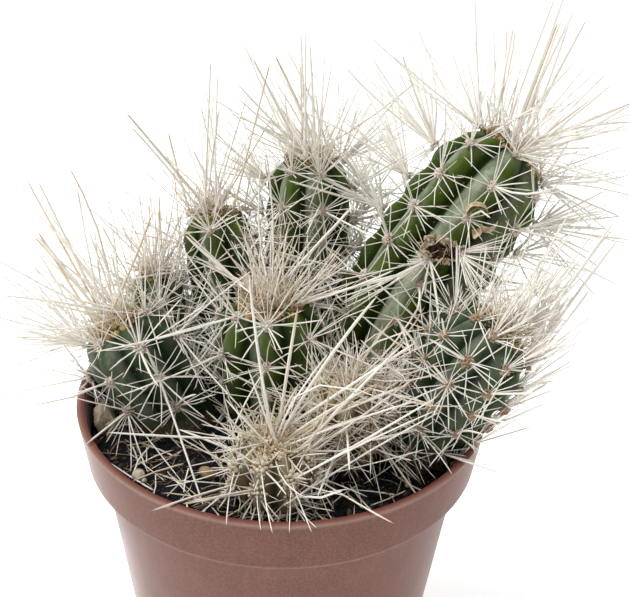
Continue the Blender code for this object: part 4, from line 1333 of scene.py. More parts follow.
class CACTUS_OT_spines(Operator):
    """Grow the spines of every pad and crown"""
    bl_idname = "cactus.spines"
    bl_label = "Spines"

    def execute(self, context):
        look = context.scene.cactus_spines
        room = Room()
        thin = spine_master("thin_spine", 4, RADIAL_RINGS)
        thick = spine_master("thick_spine", 5, CENTRAL_RINGS)
        ivory = spine_finish("ivory_spines", look, look.ivory, look.straw)
        chance = random.Random(SEED)
        for name, growth in GROWTHS.items():
            fine, coarse = [], []
            for pad in growth.pads():
                if not is_scar(name, pad):
                    self.star(pad, growth, name, room, look, chance, fine, coarse)
            self.crown(growth, name, room, look, chance, fine)
            self.long_spines(growth, name, room, chance, coarse)
            self.fans(growth, name, room, chance, coarse)
            for kind, master, strands in (("radials_", thin, fine), ("centrals_", thick, coarse)):
                spines = grow_strands(kind + name, master, strands, chance)
                finish_piece(spines, ivory, [name])
        return {"FINISHED"}

    def long_spines(self, growth, name, room, chance, strands):
        """The long spines that the photograph shows, each at its own pad."""
        pads = {(pad.rib, pad.row): pad for pad in growth.pads()}
        for spine in [LongSpine(*values) for values in LONG_SPINES[name]]:
            pad = pads[spine.rib, spine.row]
            root = pad.place + pad.out * PAD_TOP * MM
            leans = [spine.towards + LEAN_STEP * step for step in range(7)]
            aims = [picture_aim(root, spine.clock, spine.reach * MM, lean) for lean in leans]
            aim = self.place(root, aims, room, "skin_" + name)
            if aim is not None:
                bow = chance.choice((-1, 1)) * spine.bow * chance.uniform(0.5, 1.2)
                strands.append(Strand(root, aim, spine.radius * LONG_THICKNESS * MM, bow, tone=spine.tone))

    def fans(self, growth, name, room, chance, strands):
        """The spines that spread from the tip, or from the pads behind the stem, as in the photograph."""
        right, up, near = picture_axes()
        _, along, left, front = growth.axis(1)
        broad = growth.stem.radius
        hidden = [pad for pad in growth.pads() if pad.out.dot(near) < 0.35]
        for fan in FANS[name]:
            for _ in range(fan.number):
                turn, spread = chance.uniform(0, math.tau), fan.spread * math.sqrt(chance.random())
                root = growth.apex + (right * fan.start[0] + up * fan.start[1]) * MM
                if fan.behind:
                    root += swing(right, up, turn) * spread * MM
                    pad = min(hidden, key=lambda pad: (pad.place - root).length)
                    root = pad.place + pad.out * PAD_TOP * MM
                else:
                    root += swing(left, front, turn) * spread * MM - along * growth.sunk(spread / broad)
                clock, reach = chance.uniform(*fan.clocks), chance.uniform(*fan.reaches)
                towards = chance.uniform(*fan.towards)
                leans = [towards + LEAN_STEP * step for step in range(6)]
                aims = [picture_aim(root, clock, reach * MM, lean) for lean in leans]
                aim = self.place(root, aims, room, "skin_" + name)
                if aim is not None:
                    tone = clamp(chance.gauss(fan.tone + 0.15, 0.25), -1.0)
                    radius = fan.radius * chance.uniform(0.9, 1.4) * MM
                    strands.append(Strand(root, aim, radius, chance.gauss(0, fan.bow), tone=tone))

    def place(self, root, aims, room, home):
        """The first aim with room for nearly all of its length, or else the freest, shortened to fit."""
        best = None
        for aim in aims:
            free = room.free(root, aim, home)
            if best is None or free > best[0]:
                best = (free, aim)
            if free > 0.999:
                break
        free, aim = best
        fitted = aim * (0.98 * free if free < 1 else 1)
        return fitted if fitted.length > SHORTEST else None

    def star(self, pad, growth, name, room, look, chance, fine, coarse):
        """The spines of one pad: a ring that lies low, some that rise halfway, and long ones that stand out."""
        habit = HABITS[name]
        reach = growth.stem.reach
        long_reach = reach * habit.long_reach
        in_crown = pad.row == 0
        along = growth.axis(pad.share)[1]
        pressed = habit.hug * max(0.0, pad.out.x)
        fade = 1 - 0.1 * habit.fade
        side = pad.out.cross(pad.up).normalized()
        old = min(1.0, (1 - pad.share) * 1.2)
        spare = chance.choice((-1, 0, 0, 1))
        kinds = [
            (habit.radials + spare, LOW_SPINE, (60, 87), look.radial_radius, reach, fine),
            (habit.risers, HIGH_SPINE, (32, 60), look.radial_radius * 1.1, long_reach, fine),
            (habit.centrals, MAIN_SPINE, (6, 38), look.central_radius, long_reach, coarse),
        ]
        if in_crown:
            tall = reach * habit.crown
            kinds[1] = (habit.risers + 2, CROWN_SPINE, (15, 50), look.crown_radius, tall, fine)
            kinds[2] = (habit.centrals + 1, CROWN_SPINE, (4, 34), look.crown_radius * 1.2, tall, coarse)
        for number, lengths, leans, radius, share, strands in kinds:
            low = lengths is LOW_SPINE
            first = chance.random()
            for index in range(number):
                span = chance.uniform(*lengths) * share
                aims = []
                for attempt in range(look.tries):
                    loose = 1 + attempt / 2
                    turn = math.tau * (first + (index + chance.uniform(-0.35, 0.35) * loose) / number)
                    lean = math.radians(chance.uniform(*leans) - 3 * attempt)
                    aim = swing(pad.out, swing(pad.up, side, turn), lean)
                    swept = habit.sweep * (0.3 if low else 1.0) + (0.3 if in_crown else 0.0) + pressed
                    aims.append((aim + along * swept).normalized() * span)
                flat = aims[0] - pad.out * aims[0].dot(pad.out)
                rim = 1.0 if low else 0.5
                root = pad.place + flat.normalized() * rim * habit.pad * MM + pad.out * (1.3 - rim) * MM
                aim = self.place(root, aims, room, "skin_" + name)
                if aim is None:
                    continue
                bent = chance.random()
                bow = chance.gauss(0, 0.012) if bent < 0.7 else chance.gauss(0, 0.045)
                kink = chance.choice((-1, 1)) * chance.uniform(0.15, 0.5) if bent > 0.95 else 0.0
                tone = clamp(chance.gauss(0.15 + 0.3 * old - 0.6 * habit.fade, 0.22), -1.0)
                strands.append(Strand(root, aim, radius * fade * chance.uniform(0.8, 1.2), bow, kink, tone=tone))

    def crown(self, growth, name, room, look, chance, strands):
        """The dense tuft over the tip: long upright spines, and short fine ones in all directions."""
        _, along, left, front = growth.axis(1)
        habit = HABITS[name]
        tuft = habit.tuft
        tall = round(tuft * look.tall_share)
        radius = look.crown_radius * (1 - 0.3 * habit.fade)
        for index in range(tuft):
            lengths, widest = (CROWN_SPINE, 42) if index < tall else (TUFT_SPINE, 85)
            turn = chance.uniform(0, math.tau)
            spread = math.sqrt(chance.random())
            around = swing(left, front, turn)
            root = growth.apex + around * spread * 0.42 * growth.stem.radius * MM - along * 1.2 * spread * MM
            aims = []
            for attempt in range(look.tries):
                lean = math.radians(widest * spread * chance.uniform(0.5, 1.0) + chance.uniform(-8, 8))
                aim = swing(along, swing(left, front, turn + attempt), lean)
                aims.append(aim * chance.uniform(*lengths) * growth.stem.reach * habit.crown)
            aim = self.place(root, aims, room, "skin_" + name)
            if aim is not None:
                tone = clamp(chance.gauss(0.1 - 0.6 * habit.fade, 0.22), -1.0)
                bow = chance.gauss(0, 0.03 if index < tall else 0.08)
                strands.append(Strand(root, aim, radius * chance.uniform(0.65, 1.15), bow, tone=tone))


def camera_turn():
    """The rotation of the photograph's camera."""
    down = Matrix.Rotation(math.pi / 2 - CAMERA_DOWN, 3, "X")
    return Matrix.Rotation(-CAMERA_HEADING, 3, "Z") @ down @ Matrix.Rotation(CAMERA_ROLL, 3, "Z")


def picture_axes():
    """The photograph's right, its up, and the way towards its camera, as directions of the scene."""
    return [column.copy() for column in camera_turn().col]


def picture_aim(root, clock, reach, towards):
    """An aim from the picture: direction, anticlockwise from the right, length and lean forwards."""
    right, up, _ = picture_axes()
    near = (Vector(CAMERA_PLACE) - root).normalized()
    clock, towards = math.radians(clock), math.radians(min(75, towards))
    return (swing(right, up, clock) + near * math.tan(towards)) * reach


# The old bud scar takes the place of one pad of the tallest stem
SCAR_STEM = "stem_tall"
SCAR_RIB = 0
SCAR_ROW = 3
SCAR_RADII = (3.9 * MM, 2.7 * MM, 1.3 * MM)


def is_scar(name, pad):
    return name == SCAR_STEM and pad.rib == SCAR_RIB and pad.row == SCAR_ROW


def ragged(turn):
    """How far the torn edge strays from an oval in one direction, as a share of its radius."""
    return 1 + 0.20 * math.sin(2 * turn + 2.3) + 0.10 * math.sin(3 * turn + 2.0) + 0.06 * math.sin(7 * turn)


def scar_seat():
    """The middle of the scar, and its directions: across the picture, up it, and out of the skin."""
    pad = next(pad for pad in GROWTHS[SCAR_STEM].pads() if is_scar(SCAR_STEM, pad))
    right, _, _ = picture_axes()
    across = (right - pad.out * right.dot(pad.out)).normalized()
    return pad.place, across, pad.out.cross(across).normalized(), pad.out


class CACTUS_OT_scar(Operator):
    """Model the torn woolly scar of an old bud, with its fans of fine spines and its dry husks"""
    bl_idname = "cactus.scar"
    bl_label = "Bud scar"

    def execute(self, context):
        look = context.scene.cactus_wool
        seat, across, rise, out = scar_seat()
        stand = Matrix((across, rise, out)).transposed()
        chance = random.Random(SEED + 3)
        # The third colour of the torn wool is painted shade between its fibres
        torn = wool_finish("torn_wool", (0.78, 0.69, 0.54), (0.46, 0.33, 0.19), (0.14, 0.08, 0.04), look.ochre)
        rot = litter_finish("dry_rot", (0.115, 0.055, 0.030), (0.010, 0.006, 0.004))
        husk = litter_finish("husk", (0.62, 0.50, 0.33), (0.34, 0.24, 0.13))
        bowl = self.bowl(seat, stand)
        finish_piece(bowl, rot, [SCAR_STEM])
        grain = take_grain(1)
        finish_piece(self.rim(seat, stand, grain, chance), torn, [SCAR_STEM])
        spots = [(seat + stand @ Vector((chance.gauss(0.2, 1.5), chance.gauss(-0.2, 0.8), 0.5)) * MM,
                  chance.uniform(0.2, 0.45) * MM) for _ in range(70)]
        finish_piece(scattered("scar_bits", grain, spots, chance, 0.5), rot, [SCAR_STEM])
        # Where the fans stand beside the hollow, and how wide the wool is there, in mm
        seats = [((4.1, -0.5, 0.4), 1), ((-3.2, -2, 0.5), 0.9), ((1.2, -2.9, 0.4), 0.5)]
        tufts = [seat + stand @ Vector(middle) * MM for middle, _ in seats[:2]]
        clumps = [(seat + stand @ Vector([part + chance.gauss(0, 0.55 * wide) for part in middle]) * MM,
                   chance.uniform(0.28, 0.5) * MM) for middle, wide in seats for _ in range(16)]
        darks = [chance.random() for _ in clumps]
        pale = wool_finish("scar_wool", (0.80, 0.73, 0.62), (0.52, 0.38, 0.25), look.deep, look.ochre)
        finish_piece(scattered("scar_tufts", grain, clumps, chance, 0.2, dark=darks), pale, [SCAR_STEM])
        hair = spine_master("rim_hair", 4, HAIR_RINGS)
        flaps = []
        for index in range(150):
            turn = math.tau * index / 150 + chance.uniform(-0.1, 0.1)
            thick = 0.5 + 0.5 * math.cos(turn - math.radians(130))
            edge = Vector((math.cos(turn) * SCAR_RADII[0], math.sin(turn) * SCAR_RADII[1], 0)) * ragged(turn)
            edge.z = 0.5 * MM
            lean = Vector((edge.x, edge.y, 0)).normalized() * chance.uniform(-0.5, 1.4) + Vector((0, 0, 1))
            flaps.append(Strand(seat + stand @ edge,
                                stand @ (lean.normalized() * chance.uniform(0.8, 1.6 + 1.8 * thick) * MM),
                                chance.uniform(0.06, 0.13) * MM, chance.gauss(0, 0.12), tone=chance.random()))
        for _ in range(7):
            middle = Vector((chance.uniform(-2.2, 2.2), chance.uniform(-1.4, 1.1), 0.7)) * MM
            run = Vector((chance.gauss(1, 0.5), chance.gauss(0, 1), 0.1)).normalized()
            run = run * chance.uniform(1.2, 2.2) * MM
            flaps.append(Strand(seat + stand @ (middle - run), stand @ (run * 2),
                                chance.uniform(0.09, 0.15) * MM, chance.gauss(0, 0.12),
                                tone=chance.uniform(0.2, 0.8)))
        straw = spine_finish("scar_hair", context.scene.cactus_spines, (0.66, 0.55, 0.38), (0.28, 0.18, 0.09))
        finish_piece(grow_strands("scar_fringe", hair, flaps, chance), straw, [SCAR_STEM])
        self.fans(context, tufts, chance)
        self.husks(husk, chance)
        return {"FINISHED"}

    def rim(self, seat, stand, grain, chance):
        """The torn edge, in woolly grains that lie thickest at its upper left."""
        spots, tones, darks = [], [], []
        for index in range(100):
            turn = math.tau * index / 22 if index < 22 else math.radians(chance.gauss(130, 48))
            reach = chance.uniform(0.86, 1.5) * ragged(turn)
            thick = 0.5 + 0.5 * math.cos(turn - math.radians(130))
            place = Vector((math.cos(turn) * SCAR_RADII[0] * reach, math.sin(turn) * SCAR_RADII[1] * reach,
                            chance.uniform(0.1, 0.5 + 1.1 * thick) * MM))
            spots.append((seat + stand @ place, chance.uniform(0.32, 0.62) * MM))
            tones.append(0.4 * chance.random())
            darks.append(clamp(chance.gauss(0.65 - 0.4 * thick, 0.3)))
        return scattered("scar_rim", grain, spots, chance, 0.35, tone=tones, dark=darks)

    def bowl(self, seat, stand):
        """The dark hollow inside the rim."""
        bowl = turned("scar_bowl", 48, [
            (1.0, -0.8), (1, 0.25), (0.86, 0.1), (0.7, -0.05), (0.52, -0.15), (0.34, -0.2), (0.16, -0.2)])
        for vert in bowl.data.vertices:
            lump = noise.noise(vert.co * 4.0) * 0.25
            stray = ragged(math.atan2(vert.co.y, vert.co.x))
            point = Vector((vert.co.x * stray, vert.co.y * stray, vert.co.z + lump * (vert.co.z > -0.5)))
            vert.co = seat + stand @ Vector([part * size for part, size in zip(point, SCAR_RADII)])
        shade(bowl)
        return bowl

    def fans(self, context, tufts, chance):
        """The dense fans of fine spines on both sides of the scar."""
        look = context.scene.cactus_spines
        right_tuft, left_tuft = tufts
        fans = [
            (right_tuft, 40, (-66, 22), (5, 14), 0.13),
            (right_tuft, 8, (-80, -50), (8, 14), 0.16),
            (left_tuft, 16, (150, 262), (5, 12), 0.13),
            (left_tuft, 6, (182, 214), (22, 31), 0.19),
            (left_tuft, 5, (110, 160), (7, 12), 0.11),
        ]
        strands = []
        for root, number, clocks, lengths, radius in fans:
            for _ in range(number):
                aim = picture_aim(root, chance.uniform(*clocks), chance.uniform(*lengths) * MM,
                                  chance.uniform(-5, 38))
                strands.append(Strand(root, aim, radius * chance.uniform(0.8, 1.2) * MM, chance.gauss(0, 0.04),
                                      tone=chance.uniform(0, 0.4)))
        # Single long spines: direction, length and radius
        singles = [(-82, 17.5, 0.36), (-97, 9, 0.26), (-62, 11, 0.2), (-105, 15, 0.2), (214, 15, 0.24)]
        for clock, reach, radius in singles:
            aim = picture_aim(left_tuft, clock, reach * MM, 20)
            strands.append(Strand(left_tuft, aim, radius * MM, 0.03, tone=0.1))
        ivory = bpy.data.materials["ivory_spines"]
        fan = grow_strands("scar_fan", spine_master("fan_spine", 5, CENTRAL_RINGS), strands, chance)
        finish_piece(fan, ivory, [SCAR_STEM])

    def husks(self, husk, chance):
        """Papery curls left of an old flower, beside the next pad up the rib."""
        pad = next(pad for pad in GROWTHS[SCAR_STEM].pads() if (pad.rib, pad.row) == (SCAR_RIB, SCAR_ROW - 1))
        right, up, near = picture_axes()
        # Each curl's place, radius and width in mm, then its spin, tilt and sweep
        curls = [((2.8, 1.4, 1.4), 2.9, 2.8, -0.3, 0.5, 3.9), ((2.6, 1.8, 1), 2.0, 2.4, 0.3, 0.6, 3.3),
                 ((4.8, -1.4, 1.3), 2.6, 3.0, 3.6, -0.4, 2.5), ((1.8, -3, 0.9), 2.0, 2.8, 4.4, 0.9, 2.2)]
        for index, (offset, radius, width, spin, tilt, sweep) in enumerate(curls):
            deselect()
            bpy.ops.mesh.primitive_grid_add(x_subdivisions=22, y_subdivisions=6, size=1)
            curl = new_piece(f"husk_{index + 1}")
            axes = Matrix((right, up, near)).transposed()
            middle = pad.place + pad.out * 0.8 * MM + axes @ Vector(offset) * MM
            axes = axes @ Matrix.Rotation(tilt, 3, "X") @ Matrix.Rotation(spin, 3, "Z")
            for vert in curl.data.vertices:
                around = (vert.co.x + 0.5) * sweep
                bend = radius * (0.7 + 0.12 * around)
                tatter = 0.3 * noise.noise(Vector((around * 2, vert.co.y * 3, spin)))
                point = Vector((bend * math.cos(around), bend * math.sin(around) * 0.8,
                                vert.co.y * width * (1 + tatter) + tatter))
                vert.co = middle + axes @ point * MM
            apply_modifier(curl, "SOLIDIFY", thickness=0.12 * MM, offset=0)
            shade(curl, 60)
            finish_piece(curl, husk, [SCAR_STEM])


def take_grain(subdivisions):
    """A rounded master for crumbs, chips and stones."""
    deselect()
    bpy.ops.mesh.primitive_ico_sphere_add(subdivisions=subdivisions, radius=1.0)
    new_piece("grain")
    return take_master("grain")


def scattered(name, master, spots, chance, dents=0.3, flat=1.0, **labels):
    """Copies of a rounded master, each turned, squashed and dented its own way.

    A spot is a place and a radius. Each label is an attribute, with one value for every copy.
    """
    points, faces = master
    copies = []
    for place, radius in spots:
        turn = Euler([chance.uniform(0, math.tau) for _ in range(3)]).to_matrix()
        squash = Matrix.Diagonal([radius * chance.uniform(0.6, 1.15) * part for part in (1, 1, flat)])
        dented = np.array([1 + chance.uniform(-dents, dents) for _ in points])[:, None]
        copies.append((points * dented) @ np.array(turn @ squash).T + np.array(place))
    labels = {label: np.repeat(np.array(values), len(points)) for label, values in labels.items()}
    return joined(name, np.array(copies), faces, **labels)


class CACTUS_OT_litter(Operator):
    """Scatter crumbs, stones, bark, rootlets and fallen spines over the soil"""
    bl_idname = "cactus.litter"
    bl_label = "Litter on the soil"

    def execute(self, context):
        look = context.scene.cactus_soil
        chance = random.Random(SEED + 2)
        ground = tree_of("soil_plug")
        peat = bpy.data.materials["peat"]
        spots = []
        tones = []
        for _ in range(look.crumbs):
            spot = self.spot(chance, ground)
            size = look.crumb_size * (0.22 + 0.78 * chance.random() ** 3)
            spots.append((spot + Vector((0, 0, size * chance.uniform(-0.2, 0.5))), size))
            tones.append(chance.random() ** 3)
        crumbs = scattered("crumbs", take_grain(1), spots, chance, 0.22, 0.8, tone=tones)
        finish_piece(crumbs, peat, ["soil"])
        chips = [(self.spot(chance, ground) + Vector((0, 0, 0.5)) * MM, chance.uniform(0.5, 1.5) * MM)
                 for _ in range(look.chips)]
        bark = litter_finish("bark", look.bark, look.bark_dark)
        finish_piece(scattered("bark_chips", take_grain(2), chips, chance, 0.35, 0.35), bark, ["soil"])
        stone = stone_finish("grit", (0.66, 0.60, 0.50), (0.40, 0.32, 0.23))
        # Where each small stone lies, and its radius, in mm
        grit = [((-34.5, -25.6, 85.6), 1.5), ((-33, -27, 85), 0.9), ((30.5, -27, 85), 0.9),
                ((-38, 12, 85.2), 1.2)]
        stones = [(Vector(place) * MM, radius * MM) for place, radius in grit]
        finish_piece(scattered("grit", take_grain(4), stones, chance, 0.05), stone, ["soil"])
        ochre = stone_finish("ochre_stone", (0.50, 0.36, 0.18), (0.27, 0.17, 0.08))
        nugget = [(Vector((-17.9, -24.5, 85.6)) * MM, 2.1 * MM)]
        lump = scattered("ochre_nugget", take_grain(4), nugget, chance, 0.04)
        finish_piece(lump, ochre, ["soil"])
        self.fibres(look, ground, chance)
        return {"FINISHED"}

    def spot(self, chance, ground, middle=None, spread=0.0):
        """A point of the soil's top that is clear of the stems."""
        reach = band_inner_radius(SOIL_LEVEL) - 1.2 * MM
        for _ in range(200):
            if middle:
                x, y = chance.gauss(middle[0] * MM, spread * MM), chance.gauss(middle[1] * MM, spread * MM)
            else:
                x, y = chance.uniform(-reach, reach), chance.uniform(-reach, reach)
            clear = all(math.hypot(x - stem.foot[0] * MM, y - stem.foot[1] * MM) > 0.72 * stem.radius * MM
                        for stem in STEMS.values())
            if clear and math.hypot(x, y) < reach:
                return ground.ray_cast(Vector((x, y, 2 * SOIL_LEVEL)), Vector((0, 0, -1)))[0]
        raise RuntimeError("no room left on the soil")

    def fibres(self, look, ground, chance):
        """Rootlets that curl over the soil, and dry spines that have fallen on it."""
        # The middle and the spread of every cluster, in mm
        clusters = [((-34, -20), 6), ((-24, -27), 7), ((-38, -10), 5), ((-12, -35), 6), ((2, -38), 7),
                    ((26, -30), 8), ((-6, -40), 5)]
        roots = []
        for index in range(look.fibres):
            middle, spread = clusters[index % len(clusters)]
            start = self.spot(chance, ground, middle, spread) + Vector((0, 0, 0.5)) * MM
            turn = chance.uniform(0, math.tau)
            run = chance.uniform(5, 15) * MM
            end = Vector((start.x + run * math.cos(turn), start.y + run * math.sin(turn), start.z))
            if math.hypot(end.x, end.y) > band_inner_radius(SOIL_LEVEL) - MM:
                end = start * 0.8
            end.z = SOIL_LEVEL + chance.uniform(0.4, 1.6) * MM
            roots.append(Strand(start, end - start, chance.uniform(0.06, 0.16) * MM, chance.gauss(0, 0.22),
                                curl=chance.uniform(0.04, 0.16), turns=chance.uniform(0.4, 1.2),
                                tone=chance.random()))
        master = spine_master("rootlet", 4, [(1.0, step / 12) for step in range(12)] + [(0.3, 1.0)])
        dry = litter_finish("rootlets", look.fibre, look.fibre_dark)
        finish_piece(grow_strands("rootlets", master, roots, chance), dry, ["soil"])
        fallen = []
        for index in range(look.fallen):
            middle, spread = clusters[index % len(clusters)]
            start = self.spot(chance, ground, middle, spread + 3) + Vector((0, 0, 0.8)) * MM
            turn = chance.uniform(0, math.tau)
            run = chance.uniform(7, 16) * MM
            end = start + Vector((run * math.cos(turn), run * math.sin(turn), chance.uniform(0, 1.5) * MM))
            if math.hypot(end.x, end.y) > band_inner_radius(SOIL_LEVEL) - MM:
                end = start * 0.75
                end.z = start.z + 1.0 * MM
            fallen.append(Strand(start, end - start, chance.uniform(0.13, 0.25) * MM, chance.gauss(0, 0.06),
                                 tone=chance.random()))
        ivory = bpy.data.materials["ivory_spines"]
        spines = grow_strands("fallen_spines", spine_master("fallen", 4, RADIAL_RINGS), fallen, chance)
        finish_piece(spines, ivory, ["soil"])


class CACTUS_OT_wool(Operator):
    """Set a woolly pad on every seat, and wool in every crown"""
    bl_idname = "cactus.wool"
    bl_label = "Wool"

    def execute(self, context):
        look = context.scene.cactus_wool
        beige = wool_finish("pad_wool", look.pale, look.dark, look.deep, look.ochre)
        young = wool_finish("pup_wool", look.cream, look.young, look.deep, look.ochre)
        caramel = wool_finish("crown_wool", look.caramel, look.amber, look.deep, look.ochre)
        hair_pale = spine_finish("pale_hair", context.scene.cactus_spines, look.pale, look.dark)
        hair_caramel = spine_finish("caramel_hair", context.scene.cactus_spines, look.cream, look.caramel)
        grain = take_grain(1)
        hair = spine_master("hair", 3, HAIR_RINGS)
        chance = random.Random(SEED + 1)
        for name, growth in GROWTHS.items():
            pads = [pad for pad in growth.pads() if not is_scar(name, pad)]
            pup = name.startswith("pup")
            wool = self.domes("wool_" + name, grain, pads, growth, look, HABITS[name], chance)
            finish_piece(wool, young if pup else beige, [name])
            hairs = self.pad_hairs(pads, look.pad_hairs * (4 if pup else 1), chance)
            fuzz = grow_strands("fuzz_" + name, hair, hairs, chance)
            finish_piece(fuzz, hair_caramel if pup else hair_pale, [name])
            number = round(look.crown_hairs * HABITS[name].woolly)
            tuft = grow_strands("tuft_" + name, hair, self.crown_hairs(growth, number, chance), chance)
            finish_piece(tuft, hair_caramel, [name])
            crown = self.crown_mat("crown_" + name, grain, growth, look, HABITS[name].woolly, chance)
            finish_piece(crown, young if pup else caramel, [name])
        return {"FINISHED"}

    def domes(self, name, grain, pads, growth, look, habit, chance):
        """Each pad is a dome of woolly grains, browner low on the stem."""
        spots, tones, darks = [], [], []
        for pad in pads:
            size = chance.uniform(0.85, 1.12) * habit.pad
            side = pad.out.cross(pad.up).normalized()
            turn = chance.uniform(0, math.tau)
            ochre = chance.gauss(habit.ochre, 0.12)
            low = 1 - min(1.0, (pad.place.z - SOIL_LEVEL) / (growth.apex.z - SOIL_LEVEL) / 0.6)
            low *= 0.3 if name.startswith("wool_pup") else 1.0
            for index in range(look.pad_grains):
                part = (index + 0.5) / look.pad_grains
                around = turn + index * GOLDEN_ANGLE
                spread = look.pad_radius * size * math.sqrt(part)
                rise = look.pad_height * size * (math.sqrt(1 - 0.9 * part) - 0.15)
                place = pad.place + pad.out * rise
                place += (side * math.cos(around) + pad.up * math.sin(around) * 1.1) * spread
                spots.append((place, look.grain_radius * math.sqrt(size) * chance.uniform(0.7, 1.25)))
                tones.append(clamp(chance.gauss(ochre + 0.35 * low, 0.12)))
                old = 0.15 + 0.5 * low + 0.2 * part + 0.5 * habit.ochre
                darks.append(clamp(chance.gauss(old, 0.3)))
        return scattered(name, grain, spots, chance, 0.18, tone=tones, dark=darks)

    def pad_hairs(self, pads, number, chance):
        """Short hairs that stand out all round a pad."""
        strands = []
        for pad in pads:
            side = pad.out.cross(pad.up).normalized()
            for _ in range(number):
                turn = chance.uniform(0, math.tau)
                lean = math.radians(chance.uniform(20, 88))
                aim = swing(pad.out, swing(pad.up, side, turn), lean)
                strands.append(Strand(pad.place + aim * 0.6 * MM, aim * chance.uniform(1.0, 2.2) * MM, 0.05 * MM,
                                      chance.gauss(0, 0.1), curl=0.06, turns=chance.uniform(0.5, 1.5),
                                      tone=chance.uniform(0, 1)))
        return strands

    def crown_hairs(self, growth, number, chance):
        """Curly hairs over a stem's tip."""
        _, along, left, front = growth.axis(1)
        strands = []
        for _ in range(number):
            turn = chance.uniform(0, math.tau)
            spread = math.sqrt(chance.random()) * 0.5 * growth.stem.radius * MM
            around = swing(left, front, turn)
            sunk = growth.sunk(spread / (growth.stem.radius * MM))
            root = growth.apex + around * spread - along * (sunk + 0.6 * MM)
            lean = math.radians(chance.uniform(0, 70))
            aim = swing(along, around, lean)
            strands.append(Strand(root, aim * chance.uniform(2.5, 6.0) * MM, chance.uniform(0.08, 0.16) * MM,
                                  chance.gauss(0, 0.1), curl=chance.uniform(0.03, 0.12),
                                  turns=chance.uniform(0.5, 2), tone=chance.uniform(0, 1)))
        return strands

    def crown_mat(self, name, grain, growth, look, woolly, chance):
        """The matted wool of the tip, in lumps that follow its dome."""
        _, along, left, front = growth.axis(1)
        broad = growth.stem.radius * MM
        spots, tones, darks = [], [], []
        for index in range(look.crown_lumps):
            part = (index + 0.5) / look.crown_lumps
            reach = 0.60 * broad * math.sqrt(part)
            place = growth.apex + swing(left, front, index * GOLDEN_ANGLE) * reach
            place -= along * (growth.sunk(reach / broad) + chance.uniform(0.1, 0.9) * MM)
            spots.append((place, chance.uniform(0.35, 0.85) * (0.4 + 0.6 * woolly) * MM))
            tones.append(0.5 * chance.random() ** 2)
            darks.append(chance.random())
        return scattered(name, grain, spots, chance, 0.3, tone=tones, dark=darks)


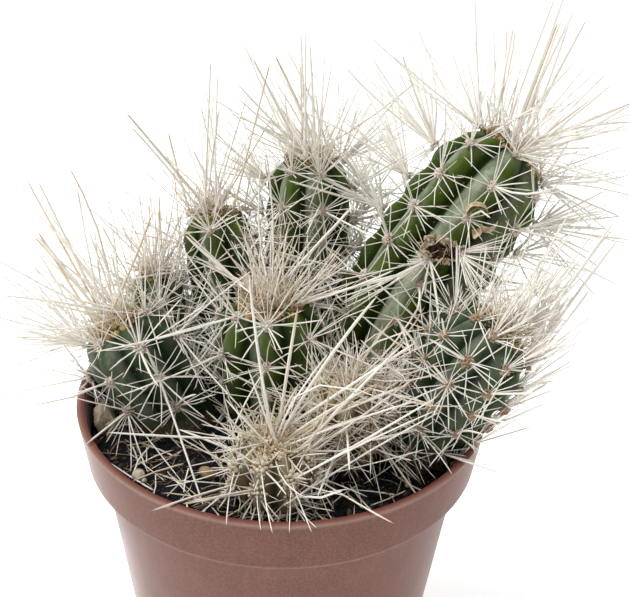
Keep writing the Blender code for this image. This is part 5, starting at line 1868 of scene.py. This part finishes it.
class CACTUS_OT_stage(Operator):
    """Lay the floor, hang the lights and stand the camera"""
    bl_idname = "cactus.stage"
    bl_label = "Stage"

    def execute(self, context):
        look = context.scene.cactus_stage
        deselect()
        bpy.ops.mesh.primitive_plane_add(size=look.floor_size)
        floor = new_piece("floor")
        paper = Finish("floor_paper", 0.9, 0.2)
        paper.shader.inputs["Base Color"].default_value = (*look.floor, 1.0)
        paper.shader.inputs["Emission Color"].default_value = (1.0, 1.0, 1.0, 1.0)
        paper.shader.inputs["Emission Strength"].default_value = look.glow
        floor.data.materials.append(paper.material)
        self.light("key_light", (-0.50, 0.05, 1), 0.5, look.key)
        self.light("left_light", (-0.9, -0.1, 0.45), 0.7, look.side)
        self.light("right_light", (0.9, 0.1, 0.45), 0.7, look.side)
        self.surround(context, look)
        self.camera(context)
        context.scene.view_settings.view_transform = "Standard"
        return {"FINISHED"}

    def light(self, name, place, size, power):
        """A square soft light that faces the cactus."""
        deselect()
        bpy.ops.object.light_add(type="AREA", location=place)
        light = bpy.context.object
        light.name = name
        light.data.size = size
        light.data.energy = power
        aim = Vector((0, 0, 0.1)) - Vector(place)
        light.rotation_euler = aim.to_track_quat("-Z", "Y").to_euler()

    def surround(self, context, look):
        """A white surround. What the camera sees of it is pure white, and its light is softer."""
        world = bpy.data.worlds.new("surround")
        context.scene.world = world
        world.use_nodes = True
        nodes, links = world.node_tree.nodes, world.node_tree.links
        ground = nodes["Background"]
        ground.inputs["Color"].default_value = (1, 1, 1, 1)
        path = nodes.new("ShaderNodeLightPath")
        strength = nodes.new("ShaderNodeMapRange")
        shine = nodes.new("ShaderNodeMapRange")
        shine.inputs["To Min"].default_value = look.ambient
        shine.inputs["To Max"].default_value = look.shine
        links.new(path.outputs["Is Glossy Ray"], shine.inputs["Value"])
        links.new(shine.outputs["Result"], strength.inputs["To Min"])
        links.new(path.outputs["Is Camera Ray"], strength.inputs["Value"])
        links.new(strength.outputs["Result"], ground.inputs["Strength"])

    def camera(self, context):
        deselect()
        bpy.ops.object.camera_add(location=CAMERA_PLACE)
        camera = bpy.context.object
        camera.name = "photo_camera"
        camera.rotation_euler = camera_turn().to_euler()
        camera.data.lens = CAMERA_LENS
        camera.data.sensor_width = CAMERA_SENSOR
        camera.data.sensor_fit = "HORIZONTAL"
        camera.data.clip_start = 0.01
        context.scene.camera = camera


OPERATORS = [CACTUS_OT_stage, CACTUS_OT_pot, CACTUS_OT_soil, CACTUS_OT_pebble, CACTUS_OT_skins,
             CACTUS_OT_spines, CACTUS_OT_wool, CACTUS_OT_scar, CACTUS_OT_litter]


class CACTUS_PT_panel(Panel):
    """The settings and the button of every piece"""
    bl_idname = "CACTUS_PT_panel"
    bl_label = "Potted Cactus"
    bl_space_type = "VIEW_3D"
    bl_region_type = "UI"
    bl_category = "Cactus"

    def draw(self, context):
        for group in GROUPS:
            box = self.layout.box()
            box.label(text=group.replace("_", " ").title())
            settings = getattr(context.scene, group)
            for setting in settings.__annotations__:
                box.prop(settings, setting)
        for operator in OPERATORS:
            self.layout.operator(operator.bl_idname)


def register():
    for group in GROUPS.values():
        bpy.utils.register_class(group)
    for label, group in GROUPS.items():
        setattr(bpy.types.Scene, label, PointerProperty(type=group))
    for operator in OPERATORS:
        bpy.utils.register_class(operator)
    bpy.utils.register_class(CACTUS_PT_panel)


def unregister():
    bpy.utils.unregister_class(CACTUS_PT_panel)
    for operator in reversed(OPERATORS):
        bpy.utils.unregister_class(operator)
    for label in GROUPS:
        delattr(bpy.types.Scene, label)
    for group in reversed(list(GROUPS.values())):
        bpy.utils.unregister_class(group)


def main():
    """Make every piece in order."""
    register()
    for operator in OPERATORS:
        section, label = operator.bl_idname.split(".")
        getattr(getattr(bpy.ops, section), label)()


if __name__ == "__main__":
    main()
